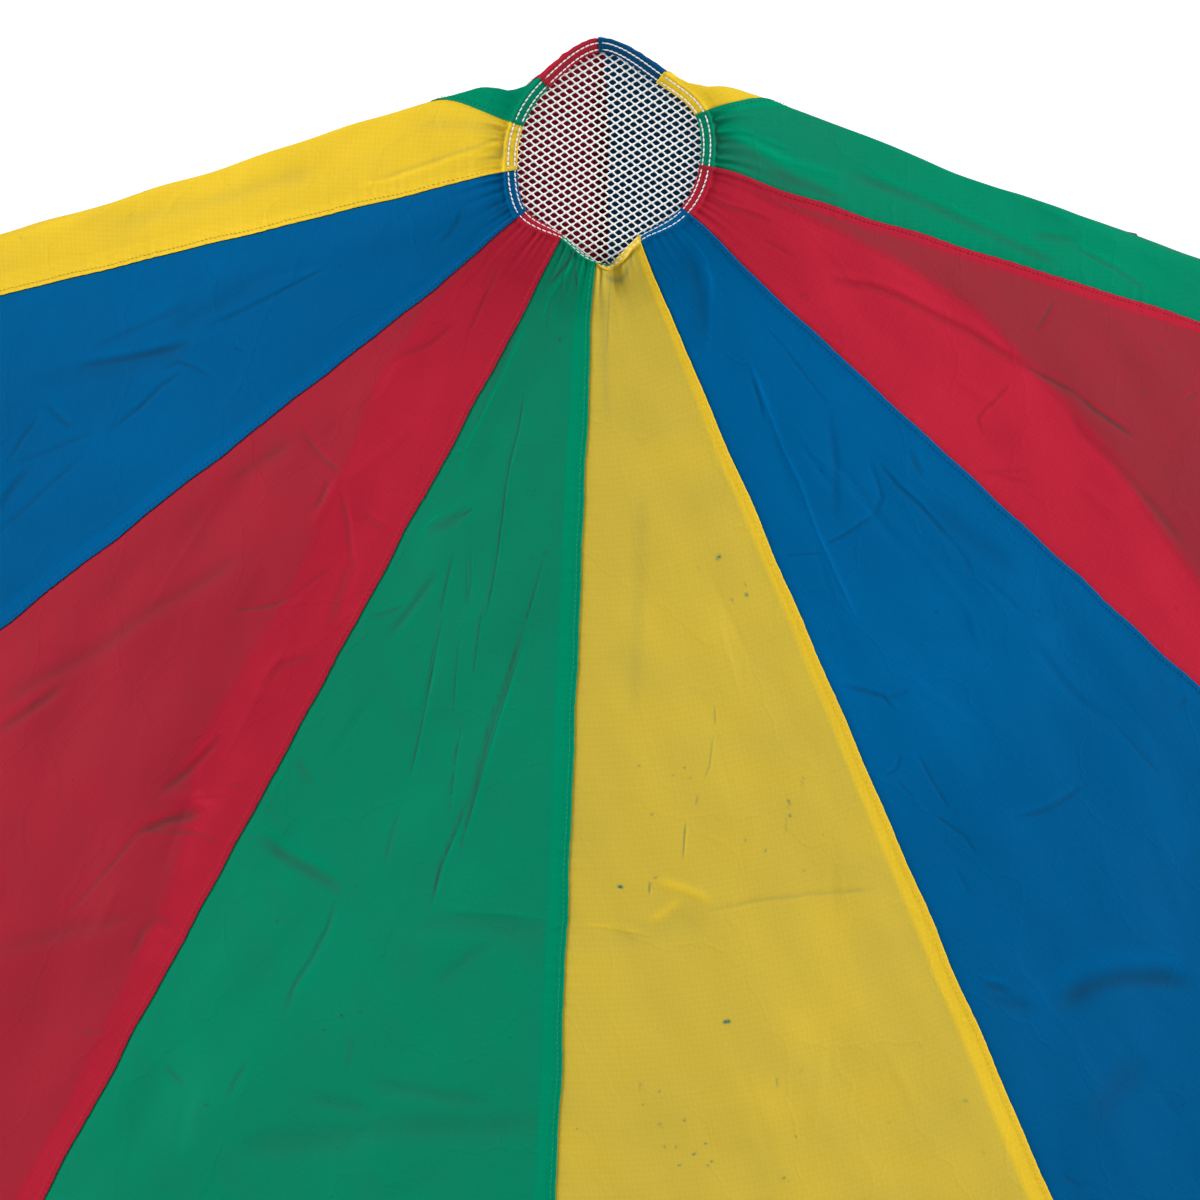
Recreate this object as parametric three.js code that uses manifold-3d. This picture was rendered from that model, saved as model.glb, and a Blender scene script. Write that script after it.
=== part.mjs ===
// A round group play parachute, set down on the floor with its vent turned to the front.
// Twelve cloth gores in four colours meet at a net over the vent, and each seam ends in a webbing hand loop.
// Millimetres, +Z up. The floor is at zero under the middle of the canopy, and the front is -Y.
import * as THREE from "three";
import { mergeVertices } from "three/addons/utils/BufferGeometryUtils.js";
import Module from "manifold-3d";

const wasm = await Module();
wasm.setup();

// Driving dimensions
const CANOPY_DIAMETER = 3660;
const GORES = 12;
const CLOTH = 1.2;
const SEAM_RIB = 1;
const SEAM_WIDTH = 14;
const GAP = 0.3;
const FOLD_GAP = 2;

// The vent: a disc of net, its edge held in the folded top hem of the gores
const VENT_RADIUS = 96;
const VENT_ASIDE = 16;
const VENT_BACK = 30;
const VENT_HEIGHT = 935;
const VENT_TILT = 60;
const VENT_HEM = 12;
const SLOT_DEPTH = 8;
const NET_THICKNESS = 1.6;
const NET_STRAND = 3;
const NET_CELL_WIDTH = 19.8;
const NET_CELL_HEIGHT = 13.2;
const NET_SELVEDGE = 5;
const NET_INSET = 2.5;

// The pose: where the front sheet folds over to the back one, and how the skirt lands
const RIDGE_OFFSET = 100;
const RIDGE_REACH = 1500;
const SHOULDER_OUT = 68;
const SHOULDER_UP = 79;
const FOLD_RADIUS = 26;
const HEM_TURN = 30;
const SKIRT_START = 950;
const SKIRT_START_AT_SIDE = 650;
const SKIRT_EASE = 450;
const LANDING = 160;
const LYING_EDGE = 60;

// The rim: three layers of cloth, and a loop of webbing on each seam
const RIM_HEM = 40;
const RIM_HEM_THICKNESS = 3.6;
const WEBBING = 2;
const WEBBING_WIDTH = 25;
const TAB_LENGTH = 36;
const HANDLE_LENGTH = 120;
const HANDLE_HEIGHT = 30;

// One row for each seam, counter-clockwise from above, starting at the front. Angles in degrees.
// Vent angles run from straight down in the vent's own plane, and the shares scale the vent's radius.
const VENT_ANGLES = [-7, 20, 51.5, 79.8, 110.9, 142.3, 184.9, 221.4, 250.6, 279.3, 306.8, 331.5];
const VENT_SHARES = [0.96, 0.822, 0.875, 0.94, 0.972, 0.885, 0.975, 0.841, 0.875, 0.91, 0.92, 0.889];
// Ahead of the quarter seams: the run down the front, as an angle in the vent's plane and a turn out of it.
const FRONT_RUNS = new Map([
  [0, [-2.3, 15]],
  [1, [23.5, 8]],
  [2, [47.5, -7]],
  [10, [-52.1, -7]],
  [11, [-28.6, 8]],
]);
// Behind them: the compass bearing from the front and the slope down the back.
const BACK_RUNS = new Map([
  [4, [131, 43]],
  [5, [156, 46]],
  [6, [180, 50]],
  [7, [204, 46]],
  [8, [229, 43]],
]);
// The fold leaves the vent's shoulders at these angles in the vent's plane, right and left, turned back alike.
const RIDGE_ANGLES = [69.2, -72.5];
const RIDGE_TURN = -25;
// Between these fabric angles from the front, the run to the fold gives way to one straight out of the vent.
const BEHIND_VENT = [128, 148];

// How deep each gore billows between its seams, as a share of the fabric radius there
const BILLOW_SHARES = [0.01, 0.01, 0.02, 0.06, 0.09, 0.09, 0.09, 0.09, 0.06, 0.02, 0.01, 0.01];
const DEEP_BILLOW_SHARE = 0.03;
const FLAT_COLUMN_SHARES = [0.25, 0.5, 0.75];
const DEEP_COLUMN_SHARES = [0.22, 0.36, 0.5, 0.64, 0.78];
const SEAM_WIDTH_SHARE = 0.18;

const COLOURS = ["yellow", "blue", "red", "green"];
const CLOTH_COLOURS = { red: 0xb2263a, blue: 0x005e96, green: 0x058462, yellow: 0xd6b43c };
const RADIUS = CANOPY_DIAMETER / 2;
const LENGTH = RADIUS - VENT_RADIUS;
const SEAM_STEP = 360 / GORES;
const PATH_STEPS = 860;
const SLOPE_LIMITS = [-0.6, 1.5];
const SLOPE_TRIES = 50;
const BEND_ANGLE = 5;

const rad = THREE.MathUtils.degToRad;
const RIGHT = new THREE.Vector3(1, 0, 0);
const FACE = new THREE.Vector3(0, -Math.sin(rad(VENT_TILT)), Math.cos(rad(VENT_TILT)));
const UP = new THREE.Vector3(0, Math.cos(rad(VENT_TILT)), Math.sin(rad(VENT_TILT)));
const VENT_CENTRE = new THREE.Vector3(VENT_ASIDE, VENT_BACK, VENT_HEIGHT);

const clothMaterial = (colour) => new THREE.MeshStandardMaterial({ color: colour, roughness: 0.6, metalness: 0 });
const MATERIALS = {
  red: clothMaterial(CLOTH_COLOURS.red),
  blue: clothMaterial(CLOTH_COLOURS.blue),
  green: clothMaterial(CLOTH_COLOURS.green),
  yellow: clothMaterial(CLOTH_COLOURS.yellow),
  net: new THREE.MeshStandardMaterial({ color: 0xf0f0f0, roughness: 0.7, metalness: 0 }),
  webbing: new THREE.MeshStandardMaterial({ color: 0x1c1c20, roughness: 0.8, metalness: 0 }),
};

// Vectors from angles

function ventDirection(angle, turn) {
  const [a, t] = [rad(angle), rad(turn)];
  return new THREE.Vector3()
    .addScaledVector(RIGHT, Math.sin(a) * Math.cos(t))
    .addScaledVector(UP, -Math.cos(a) * Math.cos(t))
    .addScaledVector(FACE, Math.sin(t));
}

function compassDirection(bearing, slope) {
  const [b, s] = [rad(bearing), rad(slope)];
  return new THREE.Vector3(Math.sin(b) * Math.cos(s), -Math.cos(b) * Math.cos(s), -Math.sin(s));
}

function blended(from, to, share) {
  return from.clone().lerp(to, share).normalize();
}

// A smooth closed curve through one vector per seam, read at a fabric angle in degrees.
function aroundSeams(rows, angle) {
  const place = angle / SEAM_STEP;
  const first = Math.floor(place);
  const t = place - first;
  const at = (k) => rows[(((first + k) % GORES) + GORES) % GORES];
  const weights = [
    (-t + 2 * t * t - t ** 3) / 2,
    (2 - 5 * t * t + 3 * t ** 3) / 2,
    (t + 4 * t * t - 3 * t ** 3) / 2,
    (-t * t + t ** 3) / 2,
  ];
  const sum = new THREE.Vector3();
  weights.forEach((w, k) => sum.addScaledVector(at(k - 1), w));
  return sum;
}

// The canopy's surface

const ventRows = VENT_ANGLES.map((angle, k) => ventDirection(angle, 0).multiplyScalar(VENT_SHARES[k] * VENT_RADIUS));

// A point of the vent's plane, a distance outside the net's edge, and the direction out to it.
function ventPoint(angle, out) {
  const edge = aroundSeams(ventRows, angle);
  const outward = edge.clone().normalize();
  return { outward, point: edge.addScaledVector(outward, out).add(VENT_CENTRE) };
}

// A point of the fold, by its distance out from the vent's middle along the cloth, on the right or the left.
function ridgePoint(side, out) {
  const shoulder = side === 0 ? SHOULDER_OUT : -SHOULDER_OUT;
  const start = VENT_CENTRE.clone().addScaledVector(RIGHT, shoulder).addScaledVector(UP, SHOULDER_UP);
  return start.addScaledVector(ventDirection(RIDGE_ANGLES[side], RIDGE_TURN), out - SHOULDER_OUT);
}

function seamRun(k) {
  if (FRONT_RUNS.has(k)) return ventDirection(...FRONT_RUNS.get(k));
  if (BACK_RUNS.has(k)) return compassDirection(...BACK_RUNS.get(k));
  const side = k * 2 < GORES ? 0 : 1;
  return ridgePoint(side, RIDGE_REACH).sub(ventPoint(k * SEAM_STEP, VENT_HEM).point).normalize();
}

const RUNS = Array.from({ length: GORES }, (_, k) => seamRun(k));

// The three directions of the cloth at one fabric angle, and how far out it crosses the fold.
function clothRuns(angle) {
  const turned = ((angle % 360) + 360) % 360;
  const side = turned <= 180 ? 0 : 1;
  const fromFront = side === 0 ? turned : 360 - turned;
  const { outward, point } = ventPoint(turned, VENT_HEM);
  const run = aroundSeams(RUNS, turned).normalize();
  if (fromFront < 90) return { outward, front: run, back: run, crossing: 2 * LENGTH };
  const back = -Math.cos(rad(fromFront));
  const across = Math.sin(rad(fromFront));
  const reach = RIDGE_OFFSET / (back + (RIDGE_OFFSET * across) / RIDGE_REACH);
  const toFold = ridgePoint(side, reach * across).sub(point);
  const beside = THREE.MathUtils.smoothstep(fromFront, ...BEHIND_VENT);
  const crossing = THREE.MathUtils.lerp(VENT_HEM + toFold.length(), SLOT_DEPTH, beside);
  return { outward, front: blended(toFold.normalize(), outward, beside), back: run, crossing };
}

// Which way the cloth heads at a distance from the net's edge, before the skirt lands.
function heading(runs, distance) {
  const { outward, front, back, crossing } = runs;
  const off = THREE.MathUtils.smoothstep(distance, VENT_HEM, VENT_HEM + HEM_TURN);
  const turn = Math.min(FOLD_RADIUS, FOLD_RADIUS / 2 + crossing / 6);
  const start = Math.max(crossing - turn, SLOT_DEPTH);
  const over = THREE.MathUtils.smoothstep(distance, start, crossing + turn);
  return blended(blended(outward, front, off), back, over);
}

// How far from the net's edge the skirt starts to land: later at the front than at the sides and the back.
function skirtStart(angle) {
  const toSide = Math.cos(rad(angle)) > 0 ? Math.sin(rad(angle)) ** 4 : 1;
  return THREE.MathUtils.lerp(SKIRT_START, SKIRT_START_AT_SIDE, toSide);
}

// The line that the cloth follows at one fabric angle, from the net's edge to the rim on the floor.
function clothLine(angle) {
  const runs = clothRuns(angle);
  const landing = skirtStart(angle);
  const step = LENGTH / PATH_STEPS;
  const start = ventPoint(angle, 0).point;
  const way = Array.from({ length: PATH_STEPS }, (_, i) => {
    const distance = (i + 0.5) * step;
    const d = heading(runs, distance);
    const eased = THREE.MathUtils.smoothstep(distance, landing, landing + SKIRT_EASE);
    const laid = THREE.MathUtils.smoothstep(distance, LENGTH - LYING_EDGE - LANDING, LENGTH - LYING_EDGE);
    const level = Math.hypot(d.x, d.y);
    return { x: d.x / level, y: d.y / level, slope: Math.atan2(-d.z, level), eased, laid };
  });
  const slopeAt = (w, skirt) => (w.slope * (1 - w.eased) + skirt * w.eased) * (1 - w.laid);
  const fall = (skirt) => way.reduce((sum, w) => sum + Math.sin(slopeAt(w, skirt)) * step, 0);
  let [low, high] = SLOPE_LIMITS;
  for (let i = 0; i < SLOPE_TRIES; i++) {
    const middle = (low + high) / 2;
    if (start.z - fall(middle) > RIM_HEM_THICKNESS) low = middle;
    else high = middle;
  }
  const points = [start];
  for (const w of way) {
    const slope = slopeAt(w, high);
    const last = points[points.length - 1];
    const level = Math.cos(slope) * step;
    points.push(new THREE.Vector3(last.x + w.x * level, last.y + w.y * level, last.z - Math.sin(slope) * step));
  }
  const billow = BILLOW_SHARES[Math.floor(angle / SEAM_STEP + GORES) % GORES];
  const across = Math.sin(rad((angle / SEAM_STEP) * 180)) ** 2;
  return (distance) => {
    const place = THREE.MathUtils.clamp(distance / step, 0, PATH_STEPS - 1e-6);
    const i = Math.floor(place);
    const p = points[i].clone().lerp(points[i + 1], place - i);
    const past = Math.min(runs.crossing, landing);
    const grown = THREE.MathUtils.smoothstep(distance, past, LENGTH);
    const depth = billow * across * grown * (VENT_RADIUS + distance);
    return p.add(new THREE.Vector3(way[i].x * depth, way[i].y * depth, 0));
  };
}

// A line of the cloth with its outward normal and its square way aside, towards the next gore, at each distance.
function clothColumn(angle) {
  const spread = 0.5;
  const [before, line, after] = [-spread, 0, spread].map((d) => clothLine(angle + d));
  const probe = CLOTH;
  return (distance) => {
    const point = line(distance);
    const d0 = THREE.MathUtils.clamp(distance - probe, 0, LENGTH);
    const d1 = THREE.MathUtils.clamp(distance + probe, 0, LENGTH);
    const down = line(d1).sub(line(d0)).normalize();
    const across = after(distance).sub(before(distance)).normalize();
    const normal = down.clone().cross(across).normalize();
    return { point, aside: normal.clone().cross(down), normal, down };
  };
}

// Gores

const HEM_BACK = CLOTH * 2 + GAP * 2 + NET_THICKNESS;
const SLOT_BACK = CLOTH + GAP * 2 + NET_THICKNESS;

// Distances at which the cloth is sampled: in the bend behind the vent's hem, as shares of its turn,
// and down to the rim, as shares of the length.
const BEND_SHARES = [0.3, 0.5, 0.8, 1.1, 1.5, 2];
const SAMPLE_SHARES = [0.05, 0.075, 0.11, 0.16, 0.23, 0.32, 0.43, 0.55, 0.65, 0.74, 0.82, 0.9, 0.957];

// The section of a gore along its length: distance, depth under the cloth's top, and share of the seam's rib.
// Each point of the cloth's top has its mate under it, and the vent's hem folds round the slot for the net.
function goreSection() {
  const rimStart = LENGTH - RIM_HEM;
  const cloth = [
    VENT_HEM + HEM_BACK,
    ...BEND_SHARES.map((share) => VENT_HEM + share * HEM_TURN),
    ...SAMPLE_SHARES.map((share) => share * LENGTH),
    rimStart - RIM_HEM_THICKNESS,
  ];
  return [
    [0, 0, 0],
    [SLOT_DEPTH, 0, 0],
    [VENT_HEM, 0, 0],
    ...cloth.map((d, i) => [d, 0, i === 0 || i === cloth.length - 1 ? 0 : 1]),
    [rimStart, 0, 0],
    [LENGTH, 0, 0],
    [LENGTH, RIM_HEM_THICKNESS, 0],
    [rimStart, RIM_HEM_THICKNESS, 0],
    ...cloth.map((d) => [d, CLOTH, 0]).reverse(),
    [VENT_HEM, HEM_BACK, 0],
    [SLOT_DEPTH, HEM_BACK, 0],
    [0, HEM_BACK, 0],
    [0, SLOT_BACK, 0],
    [SLOT_DEPTH, SLOT_BACK, 0],
    [SLOT_DEPTH, CLOTH, 0],
    [0, CLOTH, 0],
  ];
}

// The stations across a gore: the two seam edges with their ribs, and the billow between them.
function goreStations(k) {
  const inner = BILLOW_SHARES[k] > DEEP_BILLOW_SHARE ? DEEP_COLUMN_SHARES : FLAT_COLUMN_SHARES;
  const columns = [0, 0, ...inner, 1, 1].map((share) => clothColumn((k + share) * SEAM_STEP));
  const folded = VENT_HEM + HEM_TURN * 3;
  const edge = (d) => THREE.MathUtils.lerp(FOLD_GAP, GAP, THREE.MathUtils.smoothstep(d, HEM_TURN, folded)) / 2;
  const rib = (d) => Math.min(SEAM_WIDTH, ((VENT_RADIUS + d) * 2 * Math.PI * SEAM_WIDTH_SHARE) / GORES);
  const none = () => 0;
  const shifts = [edge, rib, ...inner.map(() => none), rib, edge];
  return columns.map((column, i) => {
    const sign = i < columns.length / 2 ? 1 : -1;
    const isEdge = i === 0 || i === columns.length - 1;
    return ([distance, depth, ribShare]) => {
      const { point, aside, normal } = column(distance);
      const lift = isEdge ? SEAM_RIB * ribShare : 0;
      return point.addScaledVector(aside, sign * shifts[i](distance)).addScaledVector(normal, lift - depth);
    };
  });
}

// Joins equal closed sections into one solid and closes its two ends.
function loftSections(sections, flatSection) {
  const count = flatSection.length;
  const positions = sections.flat().flatMap((p) => [p.x, p.y, p.z]);
  const indices = [];
  // Both skins of the cloth are split along the same diagonals, so that they never cross where it is twisted.
  for (let j = 0; j + 1 < sections.length; j++)
    for (let i = 0; i < count; i++) {
      const next = (i + 1) % count;
      const [a, b] = [j * count + i, j * count + next];
      const under = flatSection[i][1] > 0 && flatSection[next][1] > 0;
      if (under) indices.push(a, b, a + count, b, b + count, a + count);
      else indices.push(a, b, b + count, a, b + count, a + count);
    }
  // The end is triangulated on a bent copy of the section, so that each triangle stays beside its own stretch.
  const bend = LENGTH / BEND_ANGLE;
  const outline = flatSection.map(([distance, depth]) => {
    const place = distance / bend;
    return new THREE.Vector2(Math.cos(place), -Math.sin(place)).multiplyScalar(bend - depth);
  });
  const last = (sections.length - 1) * count;
  for (const [a, b, c] of THREE.ShapeUtils.triangulateShape(outline, [])) {
    indices.push(a, b, c);
    indices.push(last + c, last + b, last + a);
  }
  const geometry = new THREE.BufferGeometry();
  geometry.setAttribute("position", new THREE.Float32BufferAttribute(positions, 3));
  geometry.setIndex(indices);
  return geometry;
}

function makeGore(k) {
  const section = goreSection();
  const sections = goreStations(k).map((place) => section.map(place));
  const colour = COLOURS[k % COLOURS.length];
  const mesh = new THREE.Mesh(loftSections(sections, section), MATERIALS[colour]);
  mesh.name = `gore_${String(k + 1).padStart(2, "0")}_${colour}`;
  return mesh;
}

// The vent's net

function solidFrom(geometry) {
  const bare = geometry.clone();
  bare.deleteAttribute("normal");
  bare.deleteAttribute("uv");
  const merged = mergeVertices(bare);
  const mesh = new wasm.Mesh({
    numProp: 3,
    vertProperties: merged.attributes.position.array,
    triVerts: new Uint32Array(merged.index.array),
  });
  return new wasm.Manifold(mesh);
}

function geometryFrom(solid) {
  const { vertProperties, triVerts } = solid.getMesh();
  const geometry = new THREE.BufferGeometry();
  geometry.setAttribute("position", new THREE.Float32BufferAttribute(vertProperties, 3));
  geometry.setIndex(Array.from(triVerts));
  return geometry;
}

// The vent's outline in its own plane, a distance outside the net's visible edge.
function ventOutline(out, corners) {
  const points = Array.from({ length: corners }, (_, i) => {
    const p = ventPoint((i * 360) / corners, out).point.sub(VENT_CENTRE);
    return new THREE.Vector2(p.dot(RIGHT), p.dot(UP));
  });
  return new THREE.Shape(points);
}

function netOpenings() {
  const openings = [];
  const halfWidth = (NET_CELL_WIDTH - NET_STRAND) / 2;
  const halfHeight = (halfWidth * NET_CELL_HEIGHT) / NET_CELL_WIDTH;
  const columns = Math.ceil((2 * VENT_RADIUS) / NET_CELL_WIDTH);
  const rows = Math.ceil((2 * VENT_RADIUS) / NET_CELL_HEIGHT);
  for (let row = -rows; row <= rows; row++)
    for (let column = -columns; column <= columns; column++) {
      const x = (column + (row % 2 === 0 ? 0 : 0.5)) * NET_CELL_WIDTH;
      const y = (row * NET_CELL_HEIGHT) / 2;
      if (Math.hypot(x, y) > VENT_RADIUS + NET_CELL_WIDTH) continue;
      const corners = [
        [x + halfWidth, y],
        [x, y + halfHeight],
        [x - halfWidth, y],
        [x, y - halfHeight],
      ];
      openings.push(new THREE.Shape(corners.map(([a, b]) => new THREE.Vector2(a, b))));
    }
  return openings;
}

function makeNet() {
  const edge = SLOT_DEPTH - NET_INSET;
  const corners = GORES * 3;
  const flat = { depth: NET_THICKNESS, bevelEnabled: false };
  const tall = { depth: NET_THICKNESS * 3, bevelEnabled: false };
  const sheet = solidFrom(new THREE.ExtrudeGeometry(ventOutline(edge, corners), flat));
  const inside = new THREE.ExtrudeGeometry(ventOutline(edge - NET_SELVEDGE, corners), tall);
  const cutters = new THREE.ExtrudeGeometry(netOpenings(), tall);
  for (const cutter of [inside, cutters]) cutter.translate(0, 0, -NET_THICKNESS);
  const gaps = solidFrom(cutters).intersect(solidFrom(inside));
  const geometry = geometryFrom(sheet.subtract(gaps));
  geometry.translate(0, 0, -CLOTH - GAP - NET_THICKNESS);
  const mesh = new THREE.Mesh(geometry, MATERIALS.net);
  mesh.name = "vent_net";
  mesh.position.copy(VENT_CENTRE);
  mesh.rotation.x = rad(VENT_TILT);
  return mesh;
}

// Hand loops

const TAB_THICKNESS = WEBBING * 2;
const HINGE_HEIGHT = RIM_HEM_THICKNESS + GAP + WEBBING;
const HINGE_OUT = WEBBING + GAP;
// How far along the loop its upper strap rises, and how much of the loop's height it has reached there.
const LOOP_SHARES = [0.14, 0.3, 0.55, 0.84];
const LOOP_RISES = [0.19, 0.5, 0.86, 1];
const LOOP_POINTS = 20;

// The webbing of a loop seen from its side, from the hinge out along the floor, round the tip and back.
function loopLine() {
  const floor = WEBBING / 2 - HINGE_HEIGHT;
  const top = HANDLE_HEIGHT - WEBBING / 2 - HINGE_HEIGHT;
  const tip = HANDLE_LENGTH - WEBBING / 2;
  const middle = (floor + top) / 2;
  const points = [
    new THREE.Vector2(WEBBING, -WEBBING / 2),
    ...LOOP_SHARES.map((share) => new THREE.Vector2(tip * share, floor)),
    new THREE.Vector2(tip - (top - floor) / 6, (floor + middle) / 2),
    new THREE.Vector2(tip, middle),
    new THREE.Vector2(tip - (top - floor) / 5, (middle + top) / 2 + WEBBING),
    ...LOOP_SHARES.map((share, i) => new THREE.Vector2(tip * share, top * LOOP_RISES[i])).reverse(),
    new THREE.Vector2(WEBBING, WEBBING / 2),
  ];
  const line = new THREE.SplineCurve(points).getPoints(LOOP_POINTS);
  return line.map((p) => new THREE.Vector2(p.x, Math.max(p.y, floor)));
}

function loopShape() {
  const line = loopLine();
  const side = (offset) =>
    line.map((p, i) => {
      const before = line[Math.max(i - 1, 0)];
      const after = line[Math.min(i + 1, line.length - 1)];
      const along = after.clone().sub(before).normalize();
      return new THREE.Vector2(p.x + along.y * offset, p.y - along.x * offset);
    });
  const outer = side(WEBBING / 2);
  const inner = side(-WEBBING / 2).filter((p) => p.x > WEBBING * 4);
  const back = [150, 180, 210].map((a) => new THREE.Vector2(Math.cos(rad(a)), Math.sin(rad(a))).multiplyScalar(WEBBING));
  const shape = new THREE.Shape([...outer, ...back]);
  shape.holes.push(new THREE.Path([new THREE.Vector2(WEBBING * 3, 0), ...inner]));
  return shape;
}

function makeHandle(k, hinge) {
  const geometry = new THREE.ExtrudeGeometry(loopShape(), { depth: WEBBING_WIDTH, bevelEnabled: false });
  geometry.translate(0, 0, -WEBBING_WIDTH / 2);
  geometry.rotateX(Math.PI / 2);
  const mesh = new THREE.Mesh(geometry, MATERIALS.webbing);
  mesh.name = `handle_${String(k + 1).padStart(2, "0")}`;
  mesh.position.copy(hinge.position);
  mesh.rotation.z = hinge.bearing;
  return mesh;
}

// The stitched ends of a loop, one strap on the other, lying on the rim's hem across the seam.
function makeTab(k, hinge) {
  const end = -HINGE_OUT;
  const step = WEBBING_WIDTH / 5;
  const base = HINGE_HEIGHT - RIM_HEM_THICKNESS - GAP;
  const profile = [
    [end - TAB_LENGTH, -base],
    [end, -base],
    [end, TAB_THICKNESS - base],
    [end - TAB_LENGTH + step, TAB_THICKNESS - base],
    [end - TAB_LENGTH + step, WEBBING - base],
    [end - TAB_LENGTH, WEBBING - base],
  ];
  const shape = new THREE.Shape(profile.map(([x, y]) => new THREE.Vector2(x, y)));
  const geometry = new THREE.ExtrudeGeometry(shape, { depth: WEBBING_WIDTH, bevelEnabled: false });
  geometry.translate(0, 0, -WEBBING_WIDTH / 2);
  geometry.rotateX(Math.PI / 2);
  const mesh = new THREE.Mesh(geometry, MATERIALS.webbing);
  mesh.name = `handle_tab_${String(k + 1).padStart(2, "0")}`;
  mesh.position.copy(hinge.position);
  mesh.rotation.z = hinge.bearing;
  return mesh;
}

// Where a loop turns up from the rim: just outside the hem, at the height of the strap's fold.
function handleHinge(k) {
  const { point, down } = clothColumn(k * SEAM_STEP)(LENGTH);
  const bearing = Math.atan2(down.y, down.x);
  const out = new THREE.Vector3(Math.cos(bearing), Math.sin(bearing), 0).multiplyScalar(HINGE_OUT);
  const position = new THREE.Vector3(point.x, point.y, HINGE_HEIGHT).add(out);
  return { position, bearing };
}

const canopy = new THREE.Group();
for (let k = 0; k < GORES; k++) canopy.add(makeGore(k));
canopy.add(makeNet());
for (let k = 0; k < GORES; k++) {
  const hinge = handleHinge(k);
  canopy.add(makeTab(k, hinge), makeHandle(k, hinge));
}

export default canopy;
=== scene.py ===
# A round group play parachute, set down like a tent, seen from the front with its net vent near the top.
# Every cloth gore is one sheet with its folded hems, shaped on the same surface as the CAD gores.
import math

import bmesh
import bpy
import numpy as np
from mathutils import Matrix, Vector


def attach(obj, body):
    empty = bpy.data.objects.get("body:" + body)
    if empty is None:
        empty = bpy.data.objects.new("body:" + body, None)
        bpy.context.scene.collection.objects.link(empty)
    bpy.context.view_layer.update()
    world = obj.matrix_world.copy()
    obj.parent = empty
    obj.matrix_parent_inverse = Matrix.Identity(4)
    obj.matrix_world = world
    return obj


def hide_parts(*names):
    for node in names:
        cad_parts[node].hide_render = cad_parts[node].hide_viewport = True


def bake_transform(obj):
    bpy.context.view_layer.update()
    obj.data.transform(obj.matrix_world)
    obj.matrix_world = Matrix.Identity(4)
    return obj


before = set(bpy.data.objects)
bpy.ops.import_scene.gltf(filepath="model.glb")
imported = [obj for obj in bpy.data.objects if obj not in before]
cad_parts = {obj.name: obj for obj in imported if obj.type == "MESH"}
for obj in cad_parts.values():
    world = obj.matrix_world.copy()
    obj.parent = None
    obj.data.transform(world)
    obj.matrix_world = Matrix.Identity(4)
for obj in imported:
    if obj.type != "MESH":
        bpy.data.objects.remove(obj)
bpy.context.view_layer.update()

MM = 0.001

# The canopy's sizes, as in the part's source, in millimetres and degrees
GORES = 12
SEAM_STEP = 360 / GORES
VENT_RADIUS = 96.0
LENGTH = 3660 / 2 - VENT_RADIUS
VENT_ASIDE = 16.0
VENT_BACK = 30.0
VENT_HEIGHT = 935.0
VENT_TILT = math.radians(60)
VENT_HEM = 12.0
SLOT_DEPTH = 8.0
HEM_TURN = 30.0
RIDGE_OFFSET = 100.0
RIDGE_REACH = 1500.0
SHOULDER_OUT = 68.0
SHOULDER_UP = 79.0
FOLD_RADIUS = 26.0
SKIRT_START = 950.0
SKIRT_START_AT_SIDE = 650.0
SKIRT_EASE = 450.0
LANDING = 160.0
LYING_EDGE = 60.0
RIM_HEM = 40.0
RIM_HEM_THICKNESS = 3.6
VENT_ANGLES = [-7, 20, 51.5, 79.8, 110.9, 142.3, 184.9, 221.4, 250.6, 279.3, 306.8, 331.5]
VENT_SHARES = [0.96, 0.822, 0.875, 0.94, 0.972, 0.885, 0.975, 0.841, 0.875, 0.91, 0.92, 0.889]
FRONT_RUNS = {0: (-2.3, 15), 1: (23.5, 8), 2: (47.5, -7), 10: (-52.1, -7), 11: (-28.6, 8)}
BACK_RUNS = {4: (131, 43), 5: (156, 46), 6: (180, 50), 7: (204, 46), 8: (229, 43)}
RIDGE_ANGLES = (69.2, -72.5)
RIDGE_TURN = -25
BEHIND_VENT = (128, 148)
BILLOW_SHARES = [0.01, 0.01, 0.02, 0.06, 0.09, 0.09, 0.09, 0.09, 0.06, 0.02, 0.01, 0.01]
PATH_STEPS = 860
SLOPE_LIMITS = (-0.6, 1.5)
SLOPE_TRIES = 50

RIGHT = np.array((1.0, 0.0, 0.0))
FACE = np.array((0.0, -math.sin(VENT_TILT), math.cos(VENT_TILT)))
UP = np.array((0.0, math.cos(VENT_TILT), math.sin(VENT_TILT)))
VENT_CENTRE = np.array((VENT_ASIDE, VENT_BACK, VENT_HEIGHT))

COLOURS = ["yellow", "blue", "red", "green"]
GORE_COLOURS = [COLOURS[k % len(COLOURS)] for k in range(GORES)]


# The canopy's surface


def smooth(x, low, high):
    t = np.clip((x - low) / (high - low), 0, 1)
    return t * t * (3 - 2 * t)


def unit(v):
    return v / np.linalg.norm(v, axis=-1, keepdims=True)


def vent_direction(angle, turn):
    a, t = math.radians(angle), math.radians(turn)
    return RIGHT * math.sin(a) * math.cos(t) - UP * math.cos(a) * math.cos(t) + FACE * math.sin(t)


def compass_direction(bearing, slope):
    b, s = math.radians(bearing), math.radians(slope)
    return np.array((math.sin(b) * math.cos(s), -math.cos(b) * math.cos(s), -math.sin(s)))


def spline(t, p0, p1, p2, p3):
    """A smooth curve from p1 to p2, for t from 0 to 1."""
    return (
        (-t + 2 * t**2 - t**3) * p0
        + (2 - 5 * t**2 + 3 * t**3) * p1
        + (t + 4 * t**2 - 3 * t**3) * p2
        + (t**3 - t**2) * p3
    ) / 2


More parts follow.
